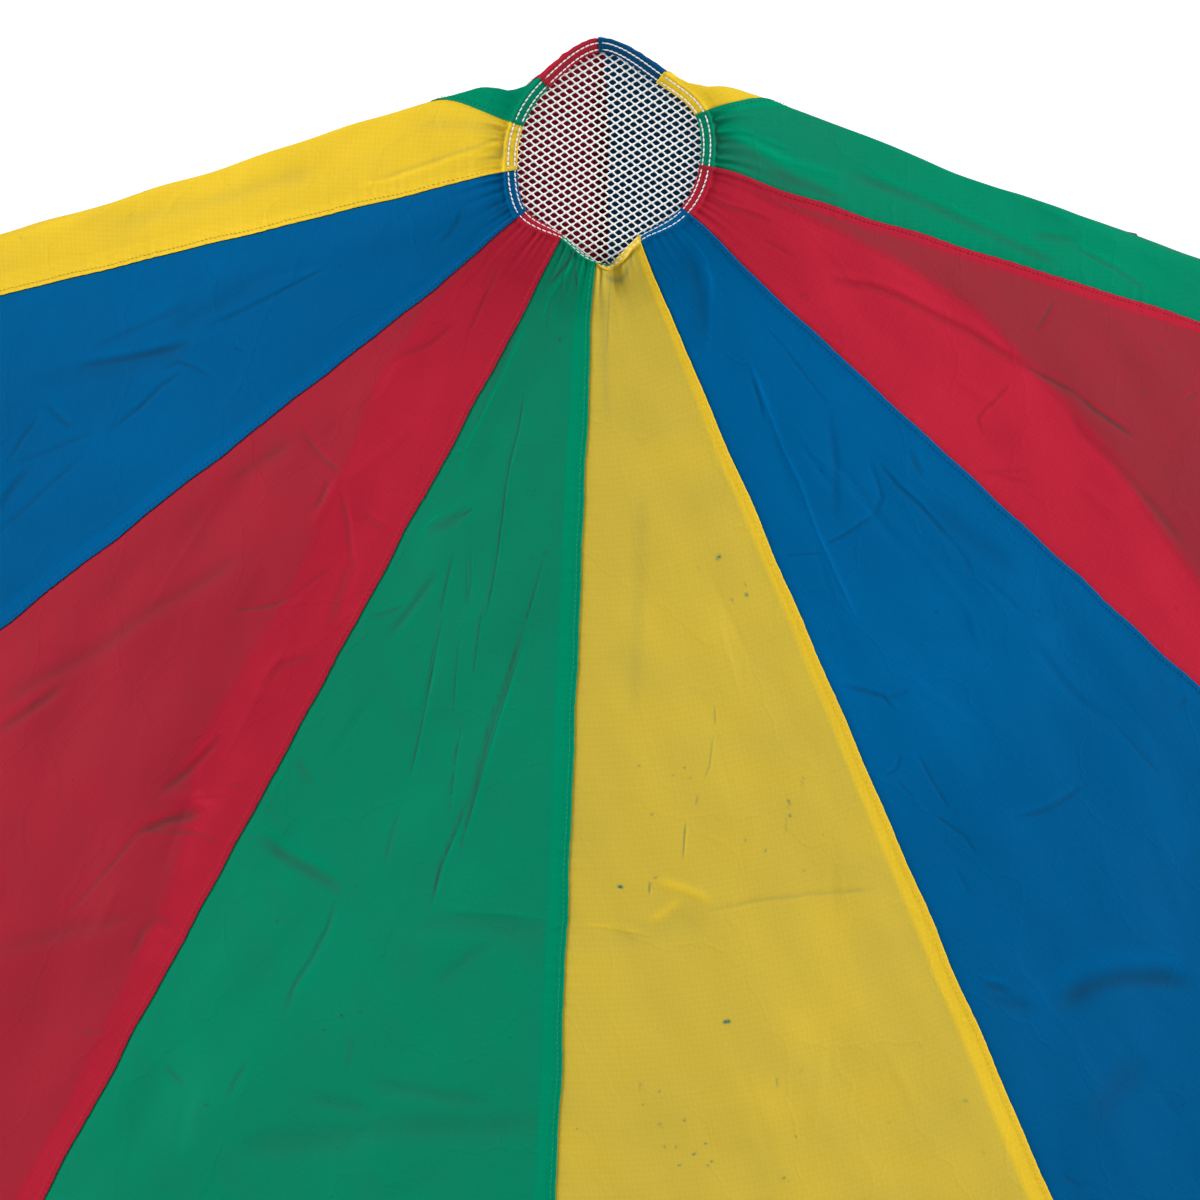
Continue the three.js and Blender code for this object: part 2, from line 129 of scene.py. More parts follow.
def around_seams(rows, angle):
    """A smooth closed curve through one vector per seam, read at fabric angles."""
    place = np.asarray(angle, float) / SEAM_STEP
    first = np.floor(place).astype(int)
    return spline((place - first)[..., None], *(rows[(first + j) % GORES] for j in (-1, 0, 1, 2)))


VENT_ROWS = np.array([vent_direction(a, 0) * VENT_RADIUS * s for a, s in zip(VENT_ANGLES, VENT_SHARES)])


def vent_point(angle, out):
    edge = around_seams(VENT_ROWS, angle)
    outward = unit(edge)
    return edge + outward * out + VENT_CENTRE, outward


def ridge_point(right, out):
    """A point of the fold, by its distance out from the vent's middle along the cloth."""
    directions = np.array([vent_direction(a, RIDGE_TURN) for a in RIDGE_ANGLES])
    right = np.asarray(right)[..., None]
    shoulder = np.where(right, SHOULDER_OUT, -SHOULDER_OUT)
    way = np.where(right, directions[0], directions[1])
    past_shoulder = np.asarray(out)[..., None] - SHOULDER_OUT
    return VENT_CENTRE + RIGHT * shoulder + UP * SHOULDER_UP + way * past_shoulder


def seam_run(k):
    if k in FRONT_RUNS:
        return vent_direction(*FRONT_RUNS[k])
    if k in BACK_RUNS:
        return compass_direction(*BACK_RUNS[k])
    start, _ = vent_point(k * SEAM_STEP, VENT_HEM)
    return unit(ridge_point(k * 2 < GORES, RIDGE_REACH) - start)


RUNS = np.array([seam_run(k) for k in range(GORES)])


def cloth_lines(angles):
    """The cloth at each fabric angle, from the net's edge to the rim: points every step down it."""
    turned = np.mod(angles, 360)
    right = turned <= 180
    from_front = np.where(right, turned, 360 - turned)
    start, outward = vent_point(turned, 0)
    hem_edge, _ = vent_point(turned, VENT_HEM)
    back = unit(around_seams(RUNS, turned))
    behind = from_front >= 90
    toward, across = -np.cos(np.radians(from_front)), np.sin(np.radians(from_front))
    fold_way = np.maximum(toward + RIDGE_OFFSET * across / RIDGE_REACH, 1e-4)
    reach = np.where(behind, RIDGE_OFFSET / fold_way, 4 * LENGTH)
    to_fold = ridge_point(right, reach * across) - hem_edge
    gap = np.linalg.norm(to_fold, axis=-1)
    beside = smooth(from_front, *BEHIND_VENT)
    turned_out = unit(unit(to_fold) * (1 - beside)[:, None] + outward * beside[:, None])
    front = np.where(behind[:, None], turned_out, back)
    crossing = np.where(behind, (VENT_HEM + gap) * (1 - beside) + SLOT_DEPTH * beside, 2 * LENGTH)

    step = LENGTH / PATH_STEPS
    distance = (np.arange(PATH_STEPS) + 0.5) * step
    off = smooth(distance, VENT_HEM, VENT_HEM + HEM_TURN)[None, :, None]
    ahead = unit(outward[:, None] * (1 - off) + front[:, None] * off)
    turn = np.minimum(FOLD_RADIUS, FOLD_RADIUS / 2 + crossing / 6)
    begin = np.maximum(crossing - turn, SLOT_DEPTH)
    over = smooth(distance[None], begin[:, None], (crossing + turn)[:, None])[..., None]
    heading = unit(ahead * (1 - over) + back[:, None] * over)

    to_side = np.where(np.cos(np.radians(turned)) > 0, np.sin(np.radians(turned)) ** 4, 1)
    landing = SKIRT_START + (SKIRT_START_AT_SIDE - SKIRT_START) * to_side
    eased = smooth(distance[None], landing[:, None], landing[:, None] + SKIRT_EASE)
    laid = smooth(distance, LENGTH - LYING_EDGE - LANDING, LENGTH - LYING_EDGE)[None]
    level = np.hypot(heading[..., 0], heading[..., 1])
    slope = np.arctan2(-heading[..., 2], level)

    def slope_with(skirt):
        return (slope * (1 - eased) + skirt[:, None] * eased) * (1 - laid)

    low, high = (np.full(len(turned), v) for v in SLOPE_LIMITS)
    for _ in range(SLOPE_TRIES):
        middle = (low + high) / 2
        above = start[:, 2] - np.sin(slope_with(middle)).sum(1) * step > RIM_HEM_THICKNESS
        low, high = np.where(above, middle, low), np.where(above, high, middle)
    slope = slope_with(high)
    level_way = heading[..., :2] / level[..., None]
    moves = np.concatenate([level_way * np.cos(slope)[..., None], -np.sin(slope)[..., None]], -1) * step
    line = np.concatenate([start[:, None], start[:, None] + np.cumsum(moves, 1)], 1)

    knots = np.arange(PATH_STEPS + 1) * step
    depth = np.array(BILLOW_SHARES)[np.floor(turned / SEAM_STEP).astype(int) % GORES]
    depth = depth * np.sin(np.radians(turned / SEAM_STEP * 180)) ** 2
    past = np.minimum(crossing, landing)[:, None]
    billow = depth[:, None] * smooth(knots[None], past, LENGTH) * (VENT_RADIUS + knots[None])
    outer = np.concatenate([level_way, level_way[:, -1:]], 1)
    line[..., :2] += outer * billow[..., None]
    return line


# The surface is worked out once, on a table of fabric angles and distances, and read between its entries.
TABLE_STEPS = 720
TABLE_ANGLES = np.arange(TABLE_STEPS) * 360 / TABLE_STEPS
TABLE = np.concatenate([cloth_lines(part) for part in np.array_split(TABLE_ANGLES, 8)])


def read_table(table, angle, distance):
    a = np.mod(np.asarray(angle, float), 360) * TABLE_STEPS / 360
    d = np.clip(np.asarray(distance, float) / LENGTH * PATH_STEPS, 0, PATH_STEPS - 1e-6)
    i, j = np.floor(a).astype(int), np.floor(d).astype(int)
    u, v = (a - i)[..., None], (d - j)[..., None]
    i, after = i % TABLE_STEPS, (i + 1) % TABLE_STEPS
    near = table[i, j] * (1 - v) + table[i, j + 1] * v
    far = table[after, j] * (1 - v) + table[after, j + 1] * v
    return near * (1 - u) + far * u


ACROSS = np.roll(TABLE, -1, 0) - np.roll(TABLE, 1, 0)
DOWN = np.gradient(TABLE, axis=1)
NORMALS = unit(np.cross(DOWN, ACROSS))
# Width of the cloth in space for one degree of fabric angle
SPREAD = np.linalg.norm(ACROSS, axis=-1, keepdims=True) / (2 * 360 / TABLE_STEPS)


def cloth_frame(angle, distance):
    """Point, outward normal and way down the cloth at fabric angles and distances."""
    return (
        read_table(TABLE, angle, distance),
        unit(read_table(NORMALS, angle, distance)),
        unit(read_table(DOWN, angle, distance)),
    )


def shifted_angle(angle, distance, aside):
    """The fabric angle that lies a number of millimetres aside."""
    return angle + aside / read_table(SPREAD, angle, distance)[..., 0]


STIFF_EDGE = 30
FULL_SEAM_RADIUS = 330


def gore_width(distance):
    return (VENT_RADIUS + distance) * math.radians(SEAM_STEP)


def loose_from_rim(distance):
    """1 over the cloth, and 0 where the rim's hem holds it."""
    return 1 - smooth(distance, LENGTH - RIM_HEM - STIFF_EDGE, LENGTH - RIM_HEM)


def narrow_near_vent(distance):
    """How much the seams narrow towards the vent."""
    return np.minimum(1.0, (VENT_RADIUS + distance) / FULL_SEAM_RADIUS)


# Relief of the cloth: gathers at the vent, creases, soft folds, and the puckered seams


def waves(rng, value, lengths, count):
    """A sum of sines along a line, about -1 to 1, with wavelengths between two lengths."""
    total = np.zeros_like(value, float)
    for _ in range(count):
        total += np.sin(value * 2 * math.pi / rng.uniform(*lengths) + rng.uniform(0, 2 * math.pi))
    return total / math.sqrt(count)


# How far the front green hem lies over the yellow one at the bottom of the vent
HEM_OVERHANG = 14.5


def seam_wander(k, distance):
    """How far the stitched seam strays sideways."""
    rng = np.random.default_rng(700 + k % GORES)
    fine = waves(rng, distance, (11, 26), 5) * 0.13
    slow = waves(rng, distance, (60, 190), 4) * 0.7
    strayed = (fine + slow) * smooth(distance, 10, 80)
    if k % GORES == 0:
        strayed = strayed + HEM_OVERHANG * (1 - smooth(distance, 1, VENT_HEM))
    return strayed


def seam_pucker(k, distance):
    """How far the seam is drawn up and down by its stitches."""
    rng = np.random.default_rng(800 + k % GORES)
    return waves(rng, distance, (9, 18), 6) * 0.22 * smooth(distance, 14, 40)


def crease(x, y, start, end, width, height, step=0.0):
    """One fold mark from start to end: a raised or sunk line, and a change of level across it."""
    (x0, y0), (x1, y1) = start, end
    length = math.hypot(x1 - x0, y1 - y0)
    ux, uy = (x1 - x0) / length, (y1 - y0) / length
    along = (x - x0) * ux + (y - y0) * uy
    off = (x - x0) * uy - (y - y0) * ux
    ends = smooth(along, -0.15 * length, 0.25 * length) * (1 - smooth(along, 0.75 * length, 1.15 * length))
    line = np.exp(-((off / width) ** 2)) * height
    if step:
        line = line + step * off / width * np.exp(-np.abs(off) / (width * 6))
    return line * ends


def line_place(x, y, line):
    """How far points lie from a line of points, on its left or right, how far along it, and its length."""
    nearest, along = np.full_like(x, 1e9), np.zeros_like(x)
    before = 0.0
    for (x0, y0), (x1, y1) in zip(line, line[1:]):
        length = math.hypot(x1 - x0, y1 - y0)
        ux, uy = (x1 - x0) / length, (y1 - y0) / length
        t = np.clip((x - x0) * ux + (y - y0) * uy, 0, length)
        dx, dy = x - x0 - t * ux, y - y0 - t * uy
        off = np.hypot(dx, dy)
        off = np.where(dx * uy - dy * ux < 0, -off, off)
        nearer = np.abs(off) < np.abs(nearest)
        nearest, along = np.where(nearer, off, nearest), np.where(nearer, before + t, along)
        before += length
    return nearest, along, before


# Fold marks that show in the photograph, by gore: width and height in millimetres, how much lighter or
# darker the cloth is along them, then the points they pass: millimetres right of the gore's middle, and
# distance from the net.
# Their tone is painted shade along the creases where it is negative, and a painted highlight where it is
# positive.
FOLD_MARKS = {
    11: [
        (1.1, -0.5, -0.34, -15, 138, -8, 171, -7, 201, -4, 222, 2, 248, 10, 288, 15, 324, 17, 340),
        (1, 0.3, -0.14, -1, 224, 4, 252, 7, 275), (1.1, -0.4, -0.3, 10, 331, 12, 348, 16, 370, 20, 390),
        (1.2, -0.5, -0.32, 68, 279, 67, 301, 66, 321, 64, 343),
        (3.2, -0.5, -0.2, 64, 343, 62, 371, 62, 397, 58, 422, 57, 445, 57, 471, 58, 500, 58, 526),
        (0.9, -0.3, -0.18, 62, 360, 59, 390, 54, 416, 53, 441, 53, 474),
        (0.9, -0.4, -0.22, 70, 351, 66, 381, 64, 409, 62, 444, 61, 474, 60, 505, 59, 535, 60, 555),
        (1.7, -0.7, -0.34, 52, 503, 50, 525, 46, 546, 43, 563, 43, 585, 43, 604),
        (1.6, -0.5, -0.26, -43, 299, -41, 326, -38, 350),
        (1.2, -0.5, -0.32, -33, 358, -31, 378, -28, 399, -24, 427, -22, 454, -20, 479, -20, 495),
        (1, -0.3, -0.2, -35, 375, -31, 400), (1, -0.3, -0.2, -25, 286, -14, 313, -7, 339),
        (0.9, -0.3, -0.18, -25, 298, -11, 333), (1, -0.4, -0.26, -8, 365, 2, 402, 9, 429),
        (1.1, -0.4, -0.28, 22, 434, 26, 465, 32, 496, 36, 518), (3, -0.5, -0.1, -20, 527, -20, 555, -19, 575),
        (5, -1, -0.15, -166, 601, -125, 606, -95, 607, -63, 611),
        (2.8, -0.8, -0.15, -61, 626, -62, 650, -70, 680, -80, 705, -81, 728),
        (1.5, 0.5, 0.06, 64, 601, 126, 595, 182, 595), (10, -0.8, -0.05, 38, 619, 93, 608, 186, 609),
        (6, -0.6, -0.05, 119, 623, 94, 645, 74, 666), (2, -0.5, -0.16, -105, 783, -112, 800, -115, 817),
        (2.5, -0.5, -0.12, -194, 818, -169, 824), (2, -0.4, -0.1, -1, 730, 2, 762),
        (6, -0.8, -0.06, 37, 764, 90, 762, 163, 762), (6, -0.8, -0.06, -23, 792, 37, 788),
        (1.3, -0.5, -0.34, -48, 263, -37, 253), (2.4, -0.5, -0.14, -49, 88, -56, 123, -62, 153, -65, 182),
        (1.3, 0.5, 0.15, -41, 85, -48, 120, -54, 148, -61, 179, -70, 204, -67, 229, -68, 238),
        (1.3, 0.5, 0.15, -76, 270, -87, 283, -95, 301), (5, -0.8, -0.12, -79, 285, -59, 273, -47, 260),
        (2, -1.4, -0.34, 3, 9, -10, 27, -25, 45), (1.8, 1.2, 0.16, 11, 11, -3, 28, -18, 50, -21, 71),
        (1.5, -1, -0.3, 5, 21, 20, 35, 37, 62, 44, 75), (1.6, -0.6, -0.14, -17, 53, -9, 80),
        (1.6, -0.6, -0.14, -11, 31, 2, 53), (1.8, -0.5, -0.18, -120, 379, -97, 367, -85, 358),
        (4, -0.8, -0.1, -57, 322, -76, 361, -91, 386), (1.2, -0.4, -0.24, 64, 275, 73, 270),
        (4, -0.6, -0.08, -155, 523, -129, 536), (12, -1, -0.05, -84, 856, 69, 797, 231, 775),
    ],
    10: [
        (2.6, -1.4, -0.1, -19, 5, 7, 5, 23, 6), (5, -1.2, -0.13, -105, 675, -95, 647, -84, 606),
        (9, -1, -0.07, -127, 660, -97, 596, -73, 543, -59, 498, -35, 448, -18, 406),
        (2, -0.6, -0.2, 21, 441, 49, 420, 64, 399), (3, -0.5, -0.08, 64, 399, 76, 363),
        (5, -0.8, -0.1, 107, 478, 107, 458, 128, 438), (4, -1, -0.13, 94, 612, 102, 582, 104, 557, 106, 543),
        (2.4, -0.8, -0.17, 101, 747, 103, 722, 105, 689, 105, 654, 117, 632, 138, 605),
        (5, -1.2, -0.14, 108, 650, 123, 631, 145, 608), (2, -0.8, -0.15, 107, 649, 152, 627, 193, 617),
        (6, 1, 0.06, 101, 615, 130, 597, 163, 593), (1.5, -0.4, -0.18, 151, 575, 165, 563),
        (1.3, -0.3, -0.12, 118, 605, 158, 581), (5, -0.8, -0.1, 92, 349, 107, 376, 122, 403),
        (2.2, -0.6, -0.14, -70, 283, -35, 287, 10, 285),
        (1.8, -0.6, -0.16, 25, 299, 57, 319, 85, 341, 103, 352), (4, -0.6, -0.1, 6, 299, 16, 325),
        (6, 0.8, 0.05, 11, 290, 28, 339), (3, -0.6, -0.11, 65, 305, 100, 305),
        (8, -0.9, -0.07, -95, 360, -81, 328, -67, 297), (3, -0.8, -0.1, -8, 45, 4, 82, 19, 118),
        (3, -0.6, -0.08, -17, 51, -6, 77), (1.3, -0.3, -0.14, 71, 273, 81, 264),
        (4, -0.8, -0.12, 212, 704, 189, 707, 184, 725, 193, 747), (9, 0.8, 0.05, 211, 725, 211, 745),
        (1.3, -0.4, -0.2, 210, 827, 233, 813, 236, 806), (8, -0.8, -0.06, 66, 818, 120, 759, 164, 721),
        (1.3, -0.4, -0.14, 219, 773, 236, 782), (4, -0.5, -0.07, -34, 176, -12, 146, -5, 118),
    ],
    9: [
        (3, -1.6, -0.12, -17, 9, 2, 9, 23, 7), (3.5, -1, -0.17, -22, 460, -8, 407, 5, 347),
        (1.8, -0.6, -0.16, 18, 376, 18, 360, 30, 347, 46, 335),
        (2.4, -0.8, -0.17, 52, 445, 44, 412, 34, 387, 30, 362),
        (2.6, -0.8, -0.13, -4, 316, -5, 277, -8, 234, -11, 195),
        (3.5, -0.6, -0.08, -36, 441, -36, 391, -34, 337), (2.4, -0.6, -0.11, 4, 500, 26, 488, 34, 482),
        (2.4, -0.6, -0.11, 44, 545, 46, 511, 47, 465), (2.2, -0.6, -0.15, 37, 553, 19, 531, 11, 515),
        (2.4, -0.6, -0.13, 103, 587, 92, 550, 77, 511, 66, 481), (4, -0.7, -0.1, 81, 576, 64, 554, 56, 535),
        (3, -0.9, -0.13, 20, 86, 15, 73, 6, 62, -6, 55), (1.3, -0.3, -0.14, 29, 303, 38, 296),
        (3, -0.9, -0.12, 3, 25, 28, 19), (10, -0.9, -0.05, -26, 503, 0, 420, 11, 346),
        (12, -0.8, -0.05, -18, 361, -27, 262),
    ],
    8: [
        (3, -1.6, -0.14, -19, 9, 4, 10, 27, 8), (2.6, -1, -0.13, -16, 7, 6, 38, 25, 79, 38, 110, 50, 138),
        (2.6, 0.9, 0.07, -8, 7, 23, 68, 46, 121, 57, 154), (4, -1.2, -0.12, 4, 5, 22, 26),
        (5, -1.4, -0.2, -4, 8, 12, 7, 29, 5), (9, -0.8, -0.05, 107, 417, 77, 305, 41, 196),
        (8, -0.8, -0.05, -20, 96, -19, 43, -19, 6),
    ],
    0: [
        (3, -1.6, -0.16, -21, 16, -6, 24, 4, 28, 13, 24, 20, 13),
        (1.4, -0.8, -0.12, -11, 27, -18, 50, -29, 85), (5, -1.2, -0.05, -21, 26, -31, 76, -46, 149),
        (1.6, 0.8, 0.05, -4, 35, -7, 71), (1.5, 0.5, 0.07, -174, 598, -135, 603, -98, 611),
        (3.5, 0.6, 0.07, -96, 600, -77, 593, -61, 585),
        (4.5, 0.7, 0.08, -79, 566, -54, 574, -36, 583, -27, 589),
        (1.6, -0.5, -0.08, -30, 597, 24, 597, 87, 605, 156, 619),
        (12, -0.6, -0.02, -147, 614, -83, 608, -31, 602), (1, -0.2, -0.22, 20, 422, 17, 437),
        (1, -0.2, -0.16, 12, 446, 1, 472, -7, 482), (1, -0.2, -0.3, -37, 518, -42, 532, -47, 548),
        (1, -0.2, -0.2, -18, 496, -22, 503), (1.1, -0.2, -0.35, 82, 519, 80, 526),
        (1, -0.2, -0.16, 76, 533, 71, 548), (1, -0.2, -0.2, 104, 504, 99, 513),
        (1.1, -0.2, -0.35, -88, 565, -91, 575), (1.4, -0.2, -0.5, -125, 567, -119, 568),
        (1.3, -0.2, -0.5, 54, 294, 61, 294), (1.1, -0.2, -0.4, 79, 333, 83, 335),
        (1, -0.2, -0.3, 9, 753, 8, 761), (1, -0.2, -0.3, -137, 740, -140, 747),
        (9, -0.6, -0.03, -20, 226, -46, 314, -76, 420),
    ],
    1: [
        (3, -1.6, -0.12, -18, 7, 6, 4, 35, 1), (2.2, -0.8, -0.17, -14, 161, -21, 179, -30, 196),
        (1.2, 0.7, 0.14, -4, 144, -21, 197, -32, 229, -40, 265, -55, 309, -67, 354, -76, 392),
        (1.6, -0.5, -0.14, 36, 130, 40, 151, 41, 183, 43, 216),
        (4.5, -0.7, -0.07, 34, 230, 10, 263, -28, 304),
        (1.6, -0.6, -0.19, -55, 322, -35, 323, -7, 323, 9, 323),
        (2, -0.6, -0.12, 12, 323, 31, 315, 38, 300, 44, 284),
        (2.4, -0.9, -0.2, 52, 293, 55, 318, 62, 342, 68, 385), (3, -0.5, -0.07, 68, 385, 69, 406, 63, 424),
        (4, -0.8, -0.11, 94, 303, 89, 312, 86, 324), (13, -1, -0.06, 71, 349, 91, 408, 111, 445),
        (1.3, -0.3, -0.14, -99, 315, -64, 328), (2.4, -0.9, -0.2, -133, 443, -117, 455, -104, 467, -103, 482),
        (2.6, -0.5, -0.1, -102, 470, -76, 473), (3, -0.8, -0.14, 175, 650, 202, 652),
        (1.5, -0.6, -0.2, -110, 530, -113, 555, -115, 581), (1.6, -0.5, -0.19, -146, 540, -142, 560),
        (1.6, -0.6, -0.22, -133, 579, -123, 603, -119, 611, -119, 631),
        (1.4, -0.5, -0.16, -153, 531, -140, 530, -126, 521), (2, -0.4, -0.1, -148, 635, -154, 660),
        (2.6, -0.7, -0.13, -63, 621, -26, 631, 27, 636), (1.5, -0.5, -0.16, 98, 602, 104, 651, 107, 675),
        (9, -1.6, -0.15, -138, 786, -103, 785, -68, 795, -32, 816, -9, 836),
        (4, -1, -0.13, -199, 737, -182, 751), (8, -1, -0.07, -207, 749, -172, 775),
        (2.2, -1, -0.22, -251, 918, -244, 935), (13, -1, -0.06, -105, 870, -144, 873, -185, 889),
        (8, -1.4, -0.1, 6, 38, -10, 75, -37, 111), (2.4, 0.9, 0.08, 22, 41, 12, 66, -14, 95, -40, 122),
        (1.4, 0.7, 0.1, 19, 21, 22, 48, 10, 73), (1.6, -0.4, -0.1, 75, 433, 85, 478),
        (5, -0.6, -0.05, 76, 509, 80, 568, 93, 602),
    ],
    2: [
        (3, -1.6, -0.12, 0, 1, 23, 6, 40, 7),
        (4.5, -1, -0.11, -12, 151, 3, 184, 8, 212, 10, 255, 12, 291, 8, 324, 7, 360),
        (3, -1, -0.2, 7, 360, 7, 385, 7, 414), (2.2, -0.9, -0.25, 7, 415, 1, 436, -1, 456, -4, 484),
        (1.5, -0.5, -0.18, 103, 376, 74, 367, 48, 358),
        (1.6, -0.5, -0.17, -20, 348, -54, 337, -65, 336, -78, 348),
        (3.5, -0.7, -0.09, -10, 414, -25, 432, -37, 474, -57, 532, -74, 572),
        (1.5, -0.5, -0.2, 58, 527, 74, 540), (1.5, -0.5, -0.14, 52, 221, 46, 244),
        (1.5, -0.5, -0.14, 45, 270, 40, 289), (2.6, -0.9, -0.16, -2, 13, -1, 34, 7, 53, 13, 73),
        (1.6, -0.5, -0.13, -10, 77, -9, 107), (1.4, 0.7, 0.1, -28, 13, -35, 37),
        (3, -0.5, -0.07, -117, 364, -90, 398), (3, -0.5, -0.07, -111, 372, -100, 408),
    ],
    3: [
        (3, -1.6, -0.14, -12, 12, 7, 14, 29, 16), (5.5, -1.4, -0.15, 6, 7, -15, 47, -37, 87, -59, 138),
        (4.5, 1.2, 0.09, 10, 18, -14, 73, -32, 135), (1.7, 0.9, 0.1, 19, 20, 8, 47, -5, 83),
        (4.5, -1.1, -0.12, -29, 149, -52, 212, -76, 269, -102, 332, -119, 377),
        (2.6, -1, -0.18, -102, 399, -123, 446, -144, 481), (3.5, -0.7, -0.1, -88, 350, -94, 399),
        (6, -1.2, -0.1, -5, 5, -31, 51, -50, 95),
    ],
}
# Small dark specks, by gore: place, width, and how much darker they are
SPECKS = {
    11: [
        (13, 81, 1.2, 0.5), (26, 222, 0.8, 0.31), (34, 219, 0.8, 0.31), (33, 223, 0.8, 0.31),
        (68, 246, 0.8, 0.25), (52, 278, 0.88, 0.31), (84, 485, 0.88, 0.25), (-20, 715, 1.3, 0.4),
        (-1, 707, 1, 0.37), (-34, 732, 1, 0.37), (-137, 832, 1, 0.37), (-120, 659, 0.96, 0.34),
        (-154, 673, 0.8, 0.25), (-44, 604, 0.8, 0.25), (-38, 742, 0.8, 0.25),
    ],
    10: [
        (-3, 67, 0.96, 0.28), (1, 70, 0.8, 0.25), (137, 541, 0.96, 0.25), (-4, 667, 0.96, 0.19),
        (209, 826, 1.2, 0.43), (203, 833, 1, 0.4), (128, 797, 0.96, 0.31), (127, 792, 0.8, 0.25),
        (174, 743, 0.8, 0.25),
    ],
    9: [
        (-6, 181, 1, 0.25),
    ],
    8: [
        (90, 437, 0.96, 0.25), (96, 405, 0.96, 0.22), (95, 400, 0.96, 0.22), (116, 534, 0.88, 0.25),
        (124, 531, 0.88, 0.31), (32, 288, 1, 0.22), (38, 169, 1, 0.19), (22, 77, 1, 0.19),
    ],
    0: [
        (63, 335, 1, 0.37), (82, 325, 0.8, 0.25), (32, 299, 0.8, 0.25), (-73, 506, 1, 0.37),
        (79, 533, 1.1, 0.43), (-78, 462, 0.96, 0.31), (24, 543, 0.96, 0.31), (-82, 562, 0.88, 0.31),
        (-35, 696, 1.7, 0.53), (-31, 696, 1.7, 0.53), (-139, 759, 0.88, 0.31), (-119, 749, 0.88, 0.31),
        (-98, 776, 0.96, 0.31), (-125, 777, 0.96, 0.31), (-124, 797, 0.96, 0.31), (-112, 798, 0.96, 0.34),
        (-80, 798, 1, 0.37), (-95, 806, 1, 0.37), (-77, 814, 1, 0.37), (-82, 817, 0.96, 0.31),
        (-113, 814, 0.96, 0.31), (-3, 839, 1, 0.37), (18, 806, 0.96, 0.31), (209, 823, 1.1, 0.37),
        (219, 872, 0.96, 0.31), (170, 762, 0.96, 0.31), (119, 818, 0.88, 0.31), (37, 752, 0.8, 0.25),
        (119, 768, 0.88, 0.31), (45, 556, 0.8, 0.25), (84, 583, 0.8, 0.25), (-41, 474, 0.8, 0.22),
        (-23, 479, 0.88, 0.25), (-27, 469, 0.88, 0.25),
    ],
    1: [
        (-11, 263, 1.2, 0.34), (4, 427, 1.2, 0.31), (104, 490, 1.1, 0.22), (-32, 444, 1, 0.19),
        (-200, 816, 1, 0.19),
    ],
    2: [
        (-44, 133, 0.96, 0.31), (-40, 135, 0.96, 0.31), (-43, 139, 0.96, 0.31), (45, 483, 1.2, 0.37),
        (103, 496, 1, 0.25), (-13, 510, 1.1, 0.25), (-61, 518, 1, 0.25), (-139, 595, 1.1, 0.25),
        (-85, 166, 1, 0.15), (-63, 485, 0.8, 0.19),
    ],
    3: [
        (-52, 256, 1, 0.22),
    ],
}


def marks_of(k):
    """A gore's fold marks and specks: width, height, tone (painted shade or highlight on the fold marks), and
    the points that they pass.
    """
    marks = [(*row[:3], list(zip(row[3::2], row[4::2]))) for row in FOLD_MARKS.get(k, ())]
    return marks + [(wide, 0, -dark, [(x, y), (x + 1, y)]) for x, y, wide, dark in SPECKS.get(k, ())]


MARKS = [marks_of(k) for k in range(GORES)]

# Painted shade and light: where a gore changes between a shaded and a lit depth of tone: distances, the share
# at each, tone before and after it, and half the width of the change in millimetres.
SHADE_EDGES = {
    10: (
        [0, 124, 158, 194, 250, 294, 350, 398, 462, 508, 570, 615, 682, 816, 928],
        [0.0, 0.07, 0.20, 0.27, 0.47, 0.58, 0.67, 0.72, 0.735, 0.75, 0.76, 0.88, 0.935, 0.968, 0.985],
        0.84, 1.04, 9,
    ),
    2: (
        [0, 232, 300, 356, 414, 478, 536, 598, 800], [1.0, 0.77, 0.68, 0.55, 0.47, 0.38, 0.30, 0.23, 0.05],
        1.11, 0.68, 10,
    ),
}
# Painted shade: the tone of each gore, a lit or shaded copy of its colour, and of its hem at the vent
GORE_SHADES = [0.765, 1.06, 1.0, 0.97, 1.0, 1.0, 1.0, 1.0, 1.0, 0.96, 1.0, 0.87]
HEM_SHADES = [0.98, 0.88, 0.92, 0.95, 1.0, 0.45, 0.86, 0.92, 1.0, 0.8, 0.92, 0.95]
# The painted lighter strip where the second layer lies along the lapped seam: its width at the net, its
# growth with distance, tone and softness
STRIPS = {11: (17.5, 0.0, 1.05, 0.12), 0: (4.5, 0.0172, 1.02, 0.22), 1: (7, 0.0165, 1.05, 0.3)}
DEFAULT_STRIP = (7, 0.0165, 1.05, 0.12)
# How strong the fold marks' painted shade and highlights are, the narrow and the wide ones, and how much
# higher the wide ones stand
MARK_SHADE_STRENGTH = (1.9, 2.5)
WIDE_MARK_HEIGHT = 1.5
WIDE_MARK = 3.4
LEAST_FOLD = 3.0
# The painted highlight beside a long dark mark: from what tone and length, how far off in widths, and how
# strong
LIT_EDGE_TONE = -0.2
LIT_EDGE_LENGTH = 10
LIT_EDGE_OFF = 2.2
LIT_EDGE_SHARE = 0.3
# Painted shade down a gore: how its tone changes with distance from the net
SHADE_RUNS = {
    0: ([0, 90, 200], [0.95, 0.98, 1.0]),
    1: ([0, 520, 820], [1.0, 1.0, 0.85]),
    3: ([0, 90, 260], [0.95, 0.9, 1.0]),
    5: ([0, 650, 1000], [0.58, 0.62, 1.0]),
    11: ([0, 300, 520], [0.97, 1.0, 1.03]),
}
# How uneven the tone is, and by how many waves
MOTTLE = 0.0052
MOTTLE_WAVES = 12


def local_place(share, distance):
    return (share - 0.5) * gore_width(distance), distance


def beside(line, x, y, margin):
    """Which points lie in the box round a line, or within a margin of it."""
    across, down = zip(*line)
    near = (x > min(across) - margin) & (x < max(across) + margin)
    return near & (y > min(down) - margin) & (y < max(down) + margin)


def bell(off, width):
    return np.exp(-((off / width) ** 2))


